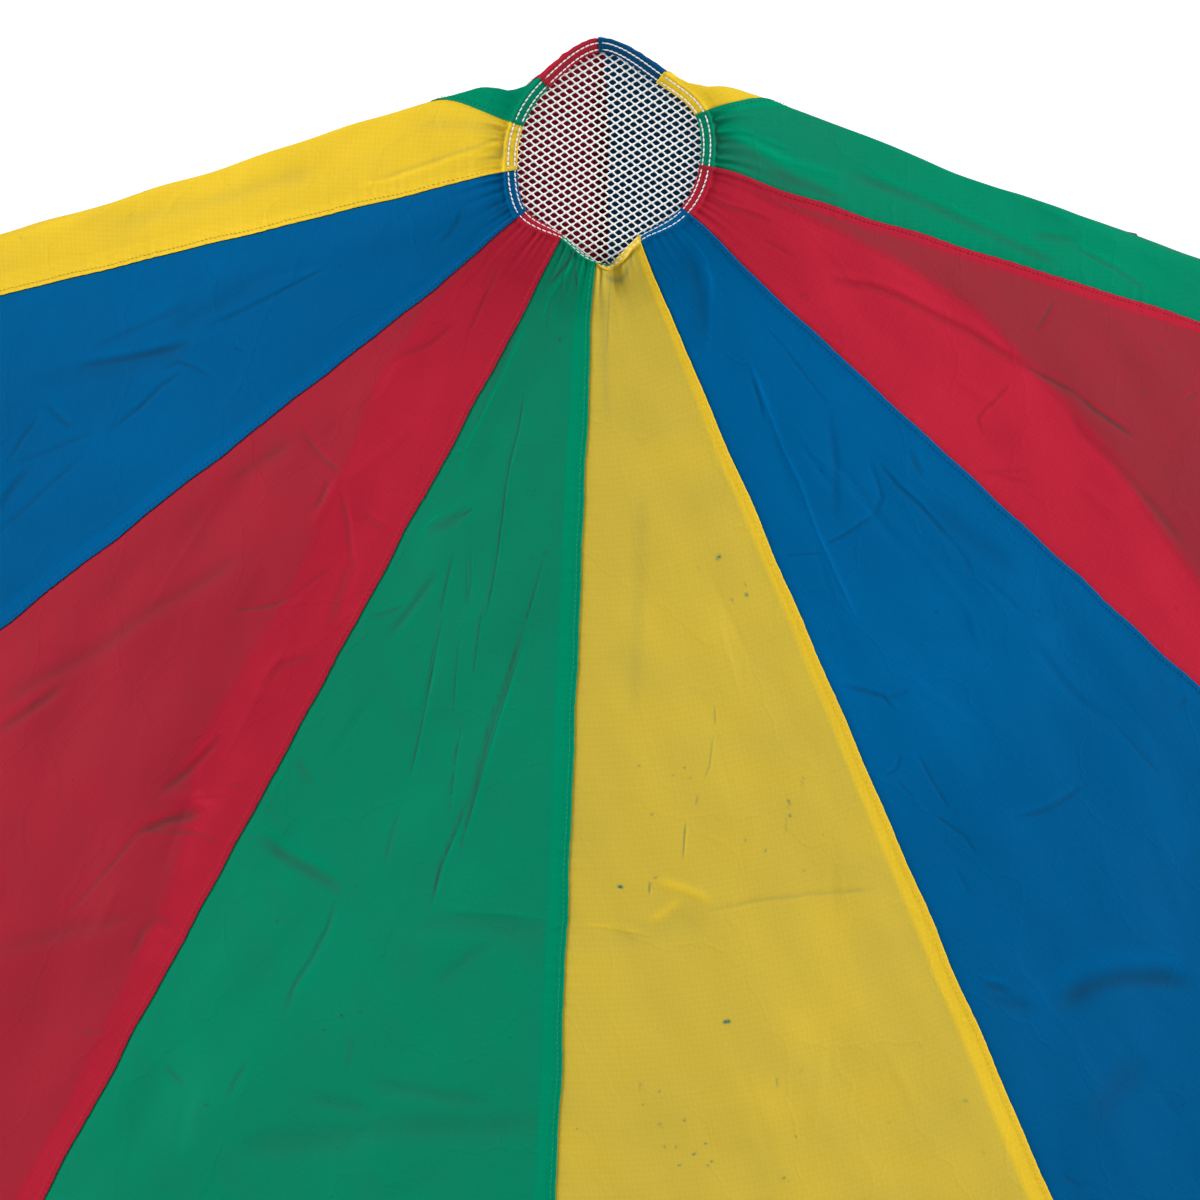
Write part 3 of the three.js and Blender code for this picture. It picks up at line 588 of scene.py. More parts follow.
def fold_marks(k, share, distance):
    """Height that the gore's fold marks add, and their tone: painted shade in the creases and painted
    highlights.
    """
    x, y = local_place(share, distance)
    height, tone = np.zeros_like(x), np.zeros_like(x)
    for number, (wide, high, shade, line) in enumerate(MARKS[k]):
        near = beside(line, x, y, max(wide, LEAST_FOLD) * 4)
        off, along, length = line_place(x[near], y[near], line)
        fade = min(0.25 * length, 25.0) + 1e-6
        ends = smooth(along, -0.6 * fade, fade) * (1 - smooth(along, length - fade, length + 0.6 * fade))
        if length < 3:
            ends = 1.0
        uneven = 0.86 + 0.14 * np.sin(along / 9 + number * 2.1) * np.sin(along / 23 + number)
        shade *= MARK_SHADE_STRENGTH[wide > WIDE_MARK]
        if wide > WIDE_MARK:
            high *= WIDE_MARK_HEIGHT
        # Painted shade along a crease, or a painted highlight where the mark's tone is positive.
        tone[near] += bell(off, wide) * shade * ends * uneven
        # A painted highlight beside each long dark mark.
        if shade < LIT_EDGE_TONE and length > LIT_EDGE_LENGTH:
            tone[near] -= bell(off - LIT_EDGE_OFF * wide, wide) * LIT_EDGE_SHARE * shade * ends * uneven
        height[near] += bell(off, max(wide, LEAST_FOLD)) * high * ends
    return height, tone


def gore_tone_and_shade(k, share, distance, from_last):
    """How light the cloth is beside its dye: painted shade and highlights by gore, zone, distance, fold mark
    and hem, random mottle, and painted light where a second layer backs it, as at a lapped seam.
    """
    tone = np.full_like(share + distance, GORE_SHADES[k])
    if k in SHADE_EDGES:
        knots, shares, before, after, soft = SHADE_EDGES[k]
        off = (share - np.interp(distance, knots, shares)) * gore_width(distance)
        tone = before + (after - before) * smooth(off, -soft, soft)
    if k in SHADE_RUNS:
        tone = tone * np.interp(distance, *SHADE_RUNS[k])
    tone = tone + fold_marks(k, share, distance)[1]
    rng = np.random.default_rng(300 + k)
    x, y = local_place(share, distance)
    mottle = np.zeros_like(x)
    sway = 1.2 * np.sin((x - y) / 47)
    for _ in range(MOTTLE_WAVES):
        direction = rng.uniform(0, math.pi)
        u = x * math.cos(direction) + y * math.sin(direction)
        mottle += np.sin(u * 2 * math.pi / rng.uniform(35, 150) + rng.uniform(0, 6.3) + sway)
    tone = tone + mottle * MOTTLE
    # Painted light: the cloth is made lighter where a second layer lies behind it, along the lapped seam and
    # at the rim's hem.
    start, growth, backed_tone, soft = STRIPS.get(k, DEFAULT_STRIP)
    allowance = start + distance * growth
    backed = smooth(from_last, -allowance * (1 + soft), -allowance * (1 - soft))
    in_hem = 1 - smooth(distance, VENT_HEM - 1, VENT_HEM + 1)
    backed = np.maximum(backed, smooth(distance, LENGTH - RIM_HEM - 1, LENGTH - RIM_HEM + 1))
    tone = tone + (np.maximum(backed_tone, tone) - tone) * backed
    # Painted shade at the vent's hem: its tone per gore, darker along the pressed stitch rows, and light and
    # dark ripples for its ruffles.
    pressed = sum(bell(distance - row, 1.0) for row in STITCH_ROWS)
    ruffle_shade = 0.045 * np.sin(x / 2.3 + 2 * np.sin(x / 7))
    hem = HEM_SHADES[k] * (1 - 0.1 * pressed + ruffle_shade + 0.05 * np.sin(x / 6.1 + distance / 2))
    return tone + (hem - tone) * in_hem


SOFT_FOLDS = 9
CREASES = 30


def gore_relief(k, share, distance, from_seam):
    """Height of the cloth over its smooth surface, in millimetres. share is 0 and 1 at the two seams."""
    rng = np.random.default_rng(100 + k)
    x, y = local_place(share, distance)
    total = np.zeros_like(x)
    for _ in range(SOFT_FOLDS):
        direction = rng.uniform(-0.9, 0.9)
        u = x * math.cos(direction) + y * math.sin(direction)
        total += rng.uniform(0.3, 0.7) * np.sin(u * 2 * math.pi / rng.uniform(70, 260) + rng.uniform(0, 6.3))
    for _ in range(CREASES):
        y0 = LENGTH * rng.uniform(0.03, 1.0) ** 0.8
        half = gore_width(y0) / 2
        x0 = rng.uniform(-0.75, 0.75) * half
        lean, reach = rng.uniform(-0.5, 0.5), rng.uniform(40, 170) * (0.5 + y0 / 1400)
        sway = math.sin(lean) * reach + x0 / half * reach * 0.25
        total += crease(
            x, y, (x0, y0), (x0 + sway, y0 + math.cos(lean) * reach),
            rng.uniform(3.0, 7), rng.choice((-1, 1)) * rng.uniform(0.3, 0.8), rng.uniform(-0.4, 0.4),
        )
    total += fold_marks(k, share, distance)[0]
    return total * smooth(from_seam, 11, 55) * smooth(distance, VENT_HEM + 4, 90)


# How much the hem gathers the cloth, by fabric angle: most at the two sides, least behind
GATHER_ANGLES = (0, 30, 60, 80, 92, 112, 122, 140, 225, 238, 248, 272, 285, 330, 360)
GATHER_SHARES = (0.6, 0.4, 0.3, 0.8, 1.5, 1.5, 0.6, 0.25, 0.25, 0.9, 1.5, 1.2, 0.45, 0.4, 0.6)
GATHER_HEIGHT = 2.3
GATHER_WAVES = (37, 53, 61, 74, 83, 97, 113)
GATHER_REACH = 3400


def gathers(angle, distance):
    """The cloth drawn together by the vent's hem, in millimetres."""
    rng = np.random.default_rng(31)
    arc = np.radians(angle)
    total = np.zeros_like(arc + distance)
    for n in GATHER_WAVES:
        turned = np.cos(arc * n + rng.uniform(0, 6.3))
        total = total + turned * np.exp(-np.maximum(distance - VENT_HEM, 0) * n / GATHER_REACH)
    total = total / 2.6
    swell = 0.55 + 0.35 * np.sin(arc * 5 + 1.1) * np.sin(arc * 3 + 0.4)
    swell = swell * np.interp(np.mod(angle, 360), GATHER_ANGLES, GATHER_SHARES)
    fade = smooth(distance, VENT_HEM - 1, VENT_HEM + 5) * np.exp(-np.maximum(distance - VENT_HEM, 0) / 38)
    in_hem = 0.16 * (1 - smooth(distance, VENT_HEM - 2, VENT_HEM + 2)) * smooth(distance, 0, 3)
    return total * swell * (fade + in_hem) * GATHER_HEIGHT


# At the bottom of the vent the hem is rolled up, and its edge dips to a point. Fabric angles from the front.
ROLL_ANGLES = (-95, -60, -42, -28, -18, 2, 8, 13, 18, 25, 36, 50, 75, 100)
ROLL_SHARES = (0.0, 0.3, 0.6, 0.95, 1.0, 1.0, 0.5, 0.0, 0.12, 0.7, 0.8, 0.5, 0.15, 0.0)
FULL_ROLL = math.radians(74)
DIP_ANGLES = (-4, 9.2, 30)
DIP = np.array((1.8, -9.4))
DIP_FADE = 11.0
ROLL_FADE = 62.0
# How far each seam's end at the vent is pulled right and up by the hem, in millimetres
PULLS = np.array([
    (0, 0), (0, 1.5), (0, 4.5), (-6, 6), (-8, 1), (-7, -3.5),
    (2.5, -2), (2.5, 0), (5, -1), (6, 2.5), (-2, 4.5), (0, 5),
])
PULL_FADE = 110.0
STITCH_ROWS = (2.4, 8.4)


def vent_roll(angle, distance):
    """How the rolled hem moves a point of the cloth near the vent, in millimetres."""
    turned = np.mod(angle + 180, 360) - 180
    roll = np.interp(turned, ROLL_ANGLES, ROLL_SHARES) * FULL_ROLL
    dip = np.interp(turned, DIP_ANGLES, (0, 1, 0)) * np.exp(-distance / DIP_FADE)
    along = np.minimum(distance, VENT_HEM)
    fade = 1 - smooth(distance, VENT_HEM, ROLL_FADE)
    edge = around_seams(VENT_ROWS, angle)
    moved = unit(edge) * (along * (np.cos(roll) - 1) * fade)[..., None]
    moved = moved + FACE * (along * np.sin(roll) * fade)[..., None]
    pull = around_seams(PULLS, angle) * (1 - smooth(distance, VENT_HEM, PULL_FADE))[..., None]
    moved = moved + RIGHT * pull[..., :1] + UP * pull[..., 1:]
    return moved + (RIGHT * DIP[0] + UP * DIP[1]) * dip[..., None]


# Gores

HEM_LIFT = 0.4
HEM_STAND = 1.8
BODY_LIFT = -0.7
DETAIL_REACH = 1020.0
COARSE_STEP = 9.0
FOLD_DEPTH = 1.3
ROW_PRESS = 0.6


def gore_rows(step):
    """The rows of a gore from the vent to the rim: distance and lift."""
    fold = ((10.5, 1), (7, 1), (3.6, 1), (1.3, 0.92), (0.4, 0.7))
    rows = [(d, HEM_LIFT - FOLD_DEPTH * deep) for d, deep in fold]
    rows += [(0.0, HEM_LIFT - 0.45), (0.5, HEM_LIFT - 0.12)]
    for d in np.arange(1.3, VENT_HEM - 1, 1.15):
        pressed = sum(math.exp(-(((d - s) / 1.1) ** 2)) for s in STITCH_ROWS)
        rows.append((d, HEM_LIFT - ROW_PRESS * pressed))
    rows += [(VENT_HEM - 0.6, HEM_LIFT - 0.1), (VENT_HEM + 0.3, HEM_LIFT - 0.8)]
    d = VENT_HEM + 1.2
    while d < LENGTH - RIM_HEM - 10:
        rows.append((d, BODY_LIFT - HEM_STAND * math.exp(-(d - VENT_HEM) / 15)))
        d += step if d < DETAIL_REACH else COARSE_STEP
    start = LENGTH - RIM_HEM
    rows += [(start - 4, BODY_LIFT), (start - 1, BODY_LIFT), (start + 0.5, -0.2), (start + 2.5, 0)]
    rows += [(start + d, 0 if d not in (6, 34) else -0.35) for d in (6, 10, 16, 22, 28, 34, 37)]
    rows += [(LENGTH - 0.8, -0.15), (LENGTH, -0.8), (LENGTH, -1.7), (LENGTH - 0.8, -2.3)]
    rows += [(LENGTH - d, -2.5) for d in (6, 20, 38)]
    return np.array(rows)


LAP = 1.6
UNDERLAP = 11.0
# Across a seam, in millimetres aside from it and of lift: the edge that lies under the gore before,
# and the one that is folded over the next gore.
UNDER_EDGE = [(-UNDERLAP, -1.15), (-5.0, -1.15), (-1.5, -1.05), (0.5, -0.85), (2.2, -0.55), (4.5, -0.18)]
UNDER_EDGE += [(8.0, 0.0)]
LAP_EDGE = [(-12.0, 0.0), (-7.0, 0.1), (-3.5, 0.35), (-1.5, 0.75), (0.3, 0.9), (LAP - 0.4, 0.8), (LAP, 0.45)]
LAP_EDGE += [(LAP - 0.4, 0.1), (-1.5, -0.15), (-8.0, -0.35)]


def gore_columns(count):
    """The columns of a gore: share between the seams, millimetres aside, and lift."""
    shares = np.linspace(0, 1, count + 2)[1:-1]
    shares = shares - np.sin(2 * math.pi * shares) * 0.03
    first, last = UNDER_EDGE[-1][0], LAP_EDGE[0][0]
    columns = [(0.0, *edge) for edge in UNDER_EDGE]
    columns += [(s, first + (last - first) * s, 0.0) for s in shares]
    columns += [(1.0, *edge) for edge in LAP_EDGE]
    return columns


UV_SPACING = 1300.0
# A gore's mesh is made finer beside its thin fold marks: how near them, for each halving
FINER_NEAR = (4.5, 2.4)
THIN_MARK = 3.3


def spread_columns(columns, rows, places):
    """Share, aside, lift, distance and the rows' own lift at places on the grid, also between its lines."""
    across = np.clip(places[:, 0] + 0.5, 0, 1) * (len(columns) - 1)
    down = np.clip(places[:, 1] + 0.5, 0, 1) * (len(rows) - 1)
    table, steps = np.array(columns), np.arange(len(columns))
    share, aside, lift = (np.interp(across, steps, table[:, n]) for n in range(3))
    distance, row_lift = (np.interp(down, np.arange(len(rows)), rows[:, n]) for n in range(2))
    return share, aside, lift, distance, row_lift


def refine(bm, k, columns, rows):
    """Halve the grid's edges beside the gore's thin fold marks, once and again."""
    for reach in FINER_NEAR:
        bm.verts.index_update()
        places = np.array([v.co[:2] for v in bm.verts])
        share, aside, _, distance, _ = spread_columns(columns, rows, places)
        x, y = local_place(share, distance)
        x = x + aside
        close = np.zeros(len(x), bool)
        for wide, _, _, line in MARKS[k]:
            if wide <= THIN_MARK:
                near = beside(line, x, y, reach + wide) & (distance > VENT_HEM + 1)
                off, _, _ = line_place(x[near], y[near], line)
                close[near] |= np.abs(off) < reach + wide
        edges = [e for e in bm.edges if close[e.verts[0].index] and close[e.verts[1].index]]
        if edges:
            bmesh.ops.subdivide_edges(bm, edges=edges, cuts=1, use_grid_fill=True)


def gore_points(k, share, aside, lift, distance, row_lift):
    """The points, cloth coordinates and tone, with its painted shade and light, of a gore at places on it."""
    width, narrow = gore_width(distance), narrow_near_vent(distance)

    def squeezed(value):
        return np.sign(value) * (np.minimum(np.abs(value), LAP) + np.maximum(np.abs(value) - LAP, 0) * narrow)

    first = squeezed(np.where(share > 0, UNDER_EDGE[-1][0], aside))
    last = squeezed(np.where(share < 1, LAP_EDGE[0][0], aside))
    spreads = [read_table(SPREAD, (k + e) * SEAM_STEP, distance)[..., 0] for e in (0, 1)]
    aside = first * (1 - share) + last * share
    seam_near = [np.exp(-np.abs((share - e) * width + aside) / 13) for e in (0, 1)]
    wander = sum(near**0.5 * seam_wander(k + e, distance) for e, near in enumerate(seam_near))
    pucker = sum(near * seam_pucker(k + e, distance) for e, near in enumerate(seam_near))
    shift = first * (1 - share) / spreads[0] + last * share / spreads[1]
    angle = (k + share) * SEAM_STEP + shift + wander / (spreads[0] * (1 - share) + spreads[1] * share)
    point, normal, _ = cloth_frame(angle, distance)
    from_seam = np.minimum(np.abs(share * width + aside), np.abs((share - 1) * width + aside))
    relief = (gore_relief(k, share, distance, from_seam) + pucker) * loose_from_rim(distance)
    relief = relief + gathers(angle, distance)
    point = point + normal * (row_lift + lift + relief)[..., None] + vent_roll(angle, distance)
    point[..., 2] = np.maximum(point[..., 2], 0.4)
    tone = gore_tone_and_shade(k, share, distance, (share - 1) * width + aside)
    uv = np.stack([local_place(share, distance)[0] + aside + k * UV_SPACING, distance], -1)
    return point * MM, uv * MM, tone


def new_mesh(bm, name):
    mesh = bpy.data.meshes.new(name)
    bm.to_mesh(mesh)
    bm.free()
    mesh.shade_smooth()
    return mesh


def add_piece(bm, name):
    piece = bpy.data.objects.new(name, new_mesh(bm, name))
    bpy.context.scene.collection.objects.link(piece)
    return piece


def make_gore(k, name, columns, rows):
    """A gore: a flat grid, made finer at its fold marks, whose corners are then moved to their places."""
    bm = bmesh.new()
    bmesh.ops.create_grid(bm, x_segments=len(columns) - 1, y_segments=len(rows) - 1, size=0.5)
    refine(bm, k, columns, rows)
    piece = add_piece(bm, name)
    mesh = piece.data
    places = np.zeros(len(mesh.vertices) * 3)
    mesh.vertices.foreach_get("co", places)
    point, uv, tone = gore_points(k, *spread_columns(columns, rows, places.reshape(-1, 3)))
    mesh.vertices.foreach_set("co", point.ravel())
    corners = np.zeros(len(mesh.loops), int)
    mesh.loops.foreach_get("vertex_index", corners)
    mesh.uv_layers.new(name="cloth").data.foreach_set("uv", uv[corners].ravel())
    # The tone attribute carries the painted shade and light of each point into the cloth material.
    mesh.attributes.new("tone", "FLOAT", "POINT").data.foreach_set("value", tone)
    mesh.update()
    return piece


# Columns across a gore and the step between its rows, finest where the camera looks
FINENESS = {
    0: (118, 3.0), 1: (116, 3.0), 2: (110, 3.0), 3: (86, 3.6),
    8: (86, 3.6), 9: (110, 3.0), 10: (118, 3.0), 11: (100, 3.2),
}
BACK_FINENESS = (56, 6.0)
gores = []
for k, colour in enumerate(GORE_COLOURS):
    column_count, row_step = FINENESS.get(k, BACK_FINENESS)
    gore = make_gore(k, f"cloth_{k + 1:02d}_{colour}", gore_columns(column_count), gore_rows(row_step))
    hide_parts(f"gore_{k + 1:02d}_{colour}")
    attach(gore, "canopy")
    gores.append(gore)


# The vent's net: a lattice of diamonds, cut to the vent and held under its hem

NET_CELL = (10.8, 7.2)
NET_HOLE = (7.35, 5.0)
HOLE_SIDE = 0.57
NET_YARN = 0.35
NET_TURN = math.radians(-4.5)
NET_DEPTH = 2.4
NET_SAG = 2.5
NET_UNDER_HEM = 6.0


def vent_polar():
    """The vent's edge in its own plane: its angle from straight down, and radius."""
    angles = np.linspace(0, 360, 721)
    edge = around_seams(VENT_ROWS, angles) + vent_roll(angles, angles * 0)
    x, y = edge @ RIGHT, edge @ UP
    return np.unwrap(np.arctan2(x, -y)), np.hypot(x, y)


EDGE_TURNS, EDGE_RADII = vent_polar()


def vent_radius(x, y):
    turn = np.mod(np.arctan2(x, -y) - EDGE_TURNS[0], 2 * math.pi) + EDGE_TURNS[0]
    return np.interp(turn, EDGE_TURNS, EDGE_RADII)


def net_place(i, j):
    """A point of the net from its place on a grid of four steps to each cell, and its height in the yarn."""
    cell_i, cell_j = math.floor(i / 4), math.floor(j / 4)
    s, t = i - cell_i * 4 - 2, j - cell_j * 4 - 2
    middle = ((cell_i - cell_j) * NET_CELL[0] / 2, (cell_i + cell_j) * NET_CELL[1] / 2)
    on_yarn = abs(s) == 2 or abs(t) == 2
    way = Vector(((s - t) / 2, (s + t) / 2))
    if on_yarn:
        return middle[0] + way.x * NET_CELL[0] / 4, middle[1] + way.y * NET_CELL[1] / 4, NET_YARN
    reach = 1.0 if abs(s) == abs(t) else 2 * HOLE_SIDE
    return middle[0] + way.x * reach * NET_HOLE[0] / 2, middle[1] + way.y * reach * NET_HOLE[1] / 2, 0.0


def make_net():
    """The two faces of the net, made from one grid with a hole in each cell, and merged along the holes."""
    cells = int(2.4 * VENT_RADIUS / min(NET_CELL))
    half = cells * 4
    bm = bmesh.new()
    bmesh.ops.create_grid(bm, x_segments=2 * half, y_segments=2 * half, size=half)
    holes = [v for v in bm.verts if round(v.co.x) % 4 == 2 and round(v.co.y) % 4 == 2]
    bmesh.ops.delete(bm, geom=holes, context="VERTS")
    cos, sin = math.cos(NET_TURN), math.sin(NET_TURN)
    for v in bm.verts:
        x, y, z = net_place(round(v.co.x), round(v.co.y))
        v.co = (x * cos - y * sin, x * sin + y * cos, z)
    outside = []
    for f in bm.faces:
        c = f.calc_center_median()
        if math.hypot(c.x, c.y) > vent_radius(c.x, c.y) + NET_UNDER_HEM:
            outside.append(f)
    bmesh.ops.delete(bm, geom=outside, context="FACES")
    for v in bm.verts:
        if v.is_boundary:
            v.co.z = 0
    under = bmesh.ops.duplicate(bm, geom=bm.verts[:] + bm.edges[:] + bm.faces[:])["geom"]
    bmesh.ops.scale(bm, vec=(1, 1, -1), verts=[v for v in under if isinstance(v, bmesh.types.BMVert)])
    bmesh.ops.reverse_faces(bm, faces=[f for f in under if isinstance(f, bmesh.types.BMFace)])
    bmesh.ops.remove_doubles(bm, verts=bm.verts, dist=1e-4)
    for v in bm.verts:
        x, y = v.co.x, v.co.y
        share = min(1.0, math.hypot(x, y) / float(vent_radius(x, y)))
        sunk = NET_DEPTH + NET_SAG * (1 - share**2)
        p = VENT_CENTRE + RIGHT * x + UP * y + FACE * (v.co.z - sunk)
        v.co = Vector(p) * MM
    return add_piece(bm, "vent_net_knit")


net = make_net()
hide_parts("vent_net")
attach(net, "canopy")


# Stitching


def thread_template(length, width, height):
    bm = bmesh.new()
    bmesh.ops.create_uvsphere(bm, u_segments=4, v_segments=3, radius=0.5)
    bmesh.ops.rotate(bm, verts=bm.verts, matrix=Matrix.Rotation(math.pi / 2, 3, "Y"))
    bmesh.ops.scale(bm, verts=bm.verts, vec=(length, width, height))
    return new_mesh(bm, "thread")


def stitching(name, template, places):
    """One piece of many stitches. places holds the middle, way along and outward normal of each."""
    middle, along, normal = (np.concatenate(part) for part in zip(*places))
    along = unit(along - normal * (along * normal).sum(-1, keepdims=True))
    side = np.cross(normal, along)
    base = np.zeros(len(template.vertices) * 3)
    template.vertices.foreach_get("co", base)
    base = base.reshape(-1, 3)
    bm = bmesh.new()
    for m, a, s, n in zip(middle, along, side, normal):
        template.vertices.foreach_set("co", ((base @ np.array((a, s, n)) + m) * MM).ravel())
        bm.from_mesh(template)
    template.vertices.foreach_set("co", base.ravel())
    piece = add_piece(bm, name)
    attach(piece, "canopy")
    return piece


ROUND_STEPS = 1440


def travelled_along(line):
    """How far along a line of points each one is."""
    return np.concatenate([[0], np.cumsum(np.linalg.norm(np.diff(line, axis=0), axis=1))])


def spaced(angles, distances, pitch):
    """Angles and distances of points evenly spaced along a line on the cloth."""
    travelled = travelled_along(cloth_frame(angles, distances)[0])
    count = int(travelled[-1] / pitch)
    at = (np.arange(count) + 0.5) / count * travelled[-1]
    return np.interp(at, travelled, angles), np.interp(at, travelled, distances)


def round_the_cloth(distance, pitch, on):
    """Evenly spaced places round the cloth: angle, distance, point, normal, and the way further on."""
    angles = np.linspace(0, 360, ROUND_STEPS + 1)
    at, distance = spaced(angles, distance + angles * 0, pitch)
    point, normal, _ = cloth_frame(at, distance)
    return at, distance, point, normal, unit(cloth_frame(at + on, distance)[0] - point)


def hem_row(distance, pitch, lift):
    """Stitches round the vent along one row of its hem."""
    at, distance, point, normal, way = round_the_cloth(distance, pitch, 0.3)
    height = lift + gathers(at, distance)
    return point + normal * height[:, None] + vent_roll(at, distance), way, normal


def seam_row(k):
    """The stitches that hold the fold of gore k - 1 along its seam with gore k."""
    down = np.linspace(VENT_HEM + 4, LENGTH - RIM_HEM - 6, 500)
    _, distance = spaced(down * 0 + k * SEAM_STEP, down, SEAM_PITCH)
    inward = LAP + SEAM_ROW_IN * narrow_near_vent(distance)

    def place(d):
        angle = shifted_angle(k * SEAM_STEP, d, seam_wander(k, d) - inward)
        return angle, cloth_frame(angle, d)

    angle, (point, normal, _) = place(distance)
    _, (ahead, _, _) = place(distance + 1)
    pucker = seam_pucker(k, distance) * 0.85 * loose_from_rim(distance)
    lift = SEAM_ROW_LIFT + pucker + gathers(angle, distance)
    return point + normal * lift[:, None] + vent_roll(angle, distance), unit(ahead - point), normal


def rim_row(distance):
    """Stitches round the rim along one row of its hem."""
    _, _, point, normal, way = round_the_cloth(distance, RIM_PITCH, 0.1)
    return point - normal * 0.15, way, normal


VENT_PITCH = 4.9
VENT_ROW_LIFT = 0.1
SEAM_PITCH = 4.6
SEAM_ROW_IN = 1.0
SEAM_ROW_LIFT = 0.72
RIM_PITCH = 6.0
thread = thread_template(4.9, 1.5, 0.9)
short_thread = thread_template(3.5, 0.7, 0.55)
rim_thread = thread_template(4.6, 1.1, 0.8)
hem_rows = [hem_row(d, VENT_PITCH, VENT_ROW_LIFT) for d in STITCH_ROWS]
vent_stitches = stitching("vent_stitching", thread, hem_rows)
rim_stitches = stitching("rim_stitching", rim_thread, [rim_row(LENGTH - d) for d in (6, RIM_HEM - 6)])
seam_stitches = {}
for colour in COLOURS:
    rows = [seam_row(k) for k in range(GORES) if GORE_COLOURS[k - 1] == colour]
    seam_stitches[colour] = stitching(f"seam_stitching_{colour}", short_thread, rows)


# Hand loops: a strap of webbing from the rim out along the floor, round, and back over itself

WEBBING = 2.0
STRAP_WIDTH = 25.0
STRAP_THICKNESS = 1.7
TAB_LENGTH = 36.0
HINGE_OUT = 2.3
HINGE_HEIGHT = 5.9
LOOP_TIP = 119.0
LOOP_TOP = 23.1
LOOP_SHARES = (0.14, 0.3, 0.55, 0.84)
LOOP_RISES = (0.19, 0.5, 0.86, 1)
STRAP_STEPS = 110
TAB_PITCH = 3.9


def strap_line():
    """The strap from its side: how far out from the fold at the rim, and height over the floor."""
    end = -HINGE_OUT
    under, over = HINGE_HEIGHT - WEBBING / 2, HINGE_HEIGHT + WEBBING / 2
    points = [(end - TAB_LENGTH, under), (end - TAB_LENGTH * 0.6, under), (end, under), (2, under)]
    points += [(LOOP_TIP * share, 1.0) for share in LOOP_SHARES]
    points += [(114.3, 8.0), (LOOP_TIP, 15.0), (113.4, 24.0)]
    shapes = zip(LOOP_SHARES, LOOP_RISES)
    back = [(LOOP_TIP * share, HINGE_HEIGHT + LOOP_TOP * rise) for share, rise in shapes]
    points += back[::-1]
    points += [(2, over), (end, over), (end - TAB_LENGTH * 0.5, over), (end - TAB_LENGTH + 5, over)]
    points = np.array(points)
    padded = np.concatenate([2 * points[:1] - points[1:2], points, 2 * points[-1:] - points[-2:-1]])
    place = np.linspace(0, len(points) - 1 - 1e-9, 40 * len(points))
    first = np.floor(place).astype(int)
    t = (place - first)[:, None]
    curve = spline(t, *(padded[first + j] for j in range(4)))
    travelled = travelled_along(curve)
    at = np.linspace(0, travelled[-1], STRAP_STEPS + 1)
    curve = np.stack([np.interp(at, travelled, curve[:, n]) for n in (0, 1)], 1)
    curve[:, 1] = np.maximum(curve[:, 1], 1.0)
    return curve, at


def strap_section():
    """The strap's closed edge seen from its end, its first point repeated at the end."""
    half, thick = STRAP_WIDTH / 2, STRAP_THICKNESS / 2
    flat = [(x * (half - 0.6), -thick) for x in (-1, -0.5, 0, 0.5, 1)]
    ring = flat + [(half, -thick * 0.5), (half, thick * 0.5)] + [(-x, -z) for x, z in flat]
    ring += [(-half, thick * 0.5), (-half, -thick * 0.5)]
    return np.array(ring + ring[:1])


def rim_hinge(k):
    """Where a loop turns up from the rim, and its ways out and aside."""
    point, _, down = cloth_frame(k * SEAM_STEP, LENGTH)
    out = unit(np.array((down[0], down[1], 0.0)))
    return np.array((point[0], point[1], 0.0)) + out * HINGE_OUT, out, np.cross(out, (0, 0, 1))


def make_strap(k):
    hinge, out, aside = rim_hinge(k)
    line, travelled = strap_line()
    section = strap_section()
    way = unit(np.gradient(line, axis=0))
    rows, columns = len(line), len(section)
    bm = bmesh.new()
    bmesh.ops.create_grid(bm, x_segments=columns - 1, y_segments=rows - 1, size=0.5)
    layer = bm.loops.layers.uv.new("cloth")
    for v in bm.verts:
        i, j = round((v.co.y + 0.5) * (rows - 1)), round((v.co.x + 0.5) * (columns - 1))
        u, w = section[j]
        x, z = line[i] + w * np.array((-way[i, 1], way[i, 0]))
        v.co = (hinge + out * x + aside * u + np.array((0, 0, max(z, 0.1)))) * MM
        for loop in v.link_loops:
            loop[layer].uv = (u * MM, travelled[i] * MM)
    bmesh.ops.remove_doubles(bm, verts=bm.verts, dist=1e-6)
    bmesh.ops.holes_fill(bm, edges=[e for e in bm.edges if e.is_boundary], sides=0)
    bmesh.ops.recalc_face_normals(bm, faces=bm.faces)
    number = f"{k + 1:02d}"
    strap = add_piece(bm, f"strap_{number}")
    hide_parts(f"handle_tab_{number}", f"handle_{number}")
    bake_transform(strap)
    return strap


def tab_stitches(k):
    """A box of stitches with a cross in it, through both ends of a strap and the rim."""
    hinge, out, aside = rim_hinge(k)
    far, near, half = -HINGE_OUT - TAB_LENGTH + 8, -HINGE_OUT - 3, STRAP_WIDTH / 2 - 4
    corners = [(far, -half), (near, -half), (near, half), (far, half)]
    sides = list(zip(corners, corners[1:] + corners[:1]))
    sides += [(corners[0], corners[2]), (corners[1], corners[3])]
    middles, ways = [], []
    top = np.array((0, 0, HINGE_HEIGHT + WEBBING / 2 + STRAP_THICKNESS / 2))
    for start, end in sides:
        start, end = np.array(start), np.array(end)
        count = int(np.linalg.norm(end - start) / TAB_PITCH)
        for share in (np.arange(count) + 0.5) / count:
            x, u = start + (end - start) * share
            middles.append(hinge + out * x + aside * u + top)
            ways.append(unit(out * (end - start)[0] + aside * (end - start)[1]))
    middles, ways = np.array(middles), np.array(ways)
    return middles, ways, ways * 0 + np.array((0.0, 0.0, 1.0))


straps = [make_strap(k) for k in range(GORES)]
tab_thread = thread_template(3.0, 0.9, 0.6)
strap_stitches = stitching("strap_stitching", tab_thread, [tab_stitches(k) for k in range(GORES)])


# Materials


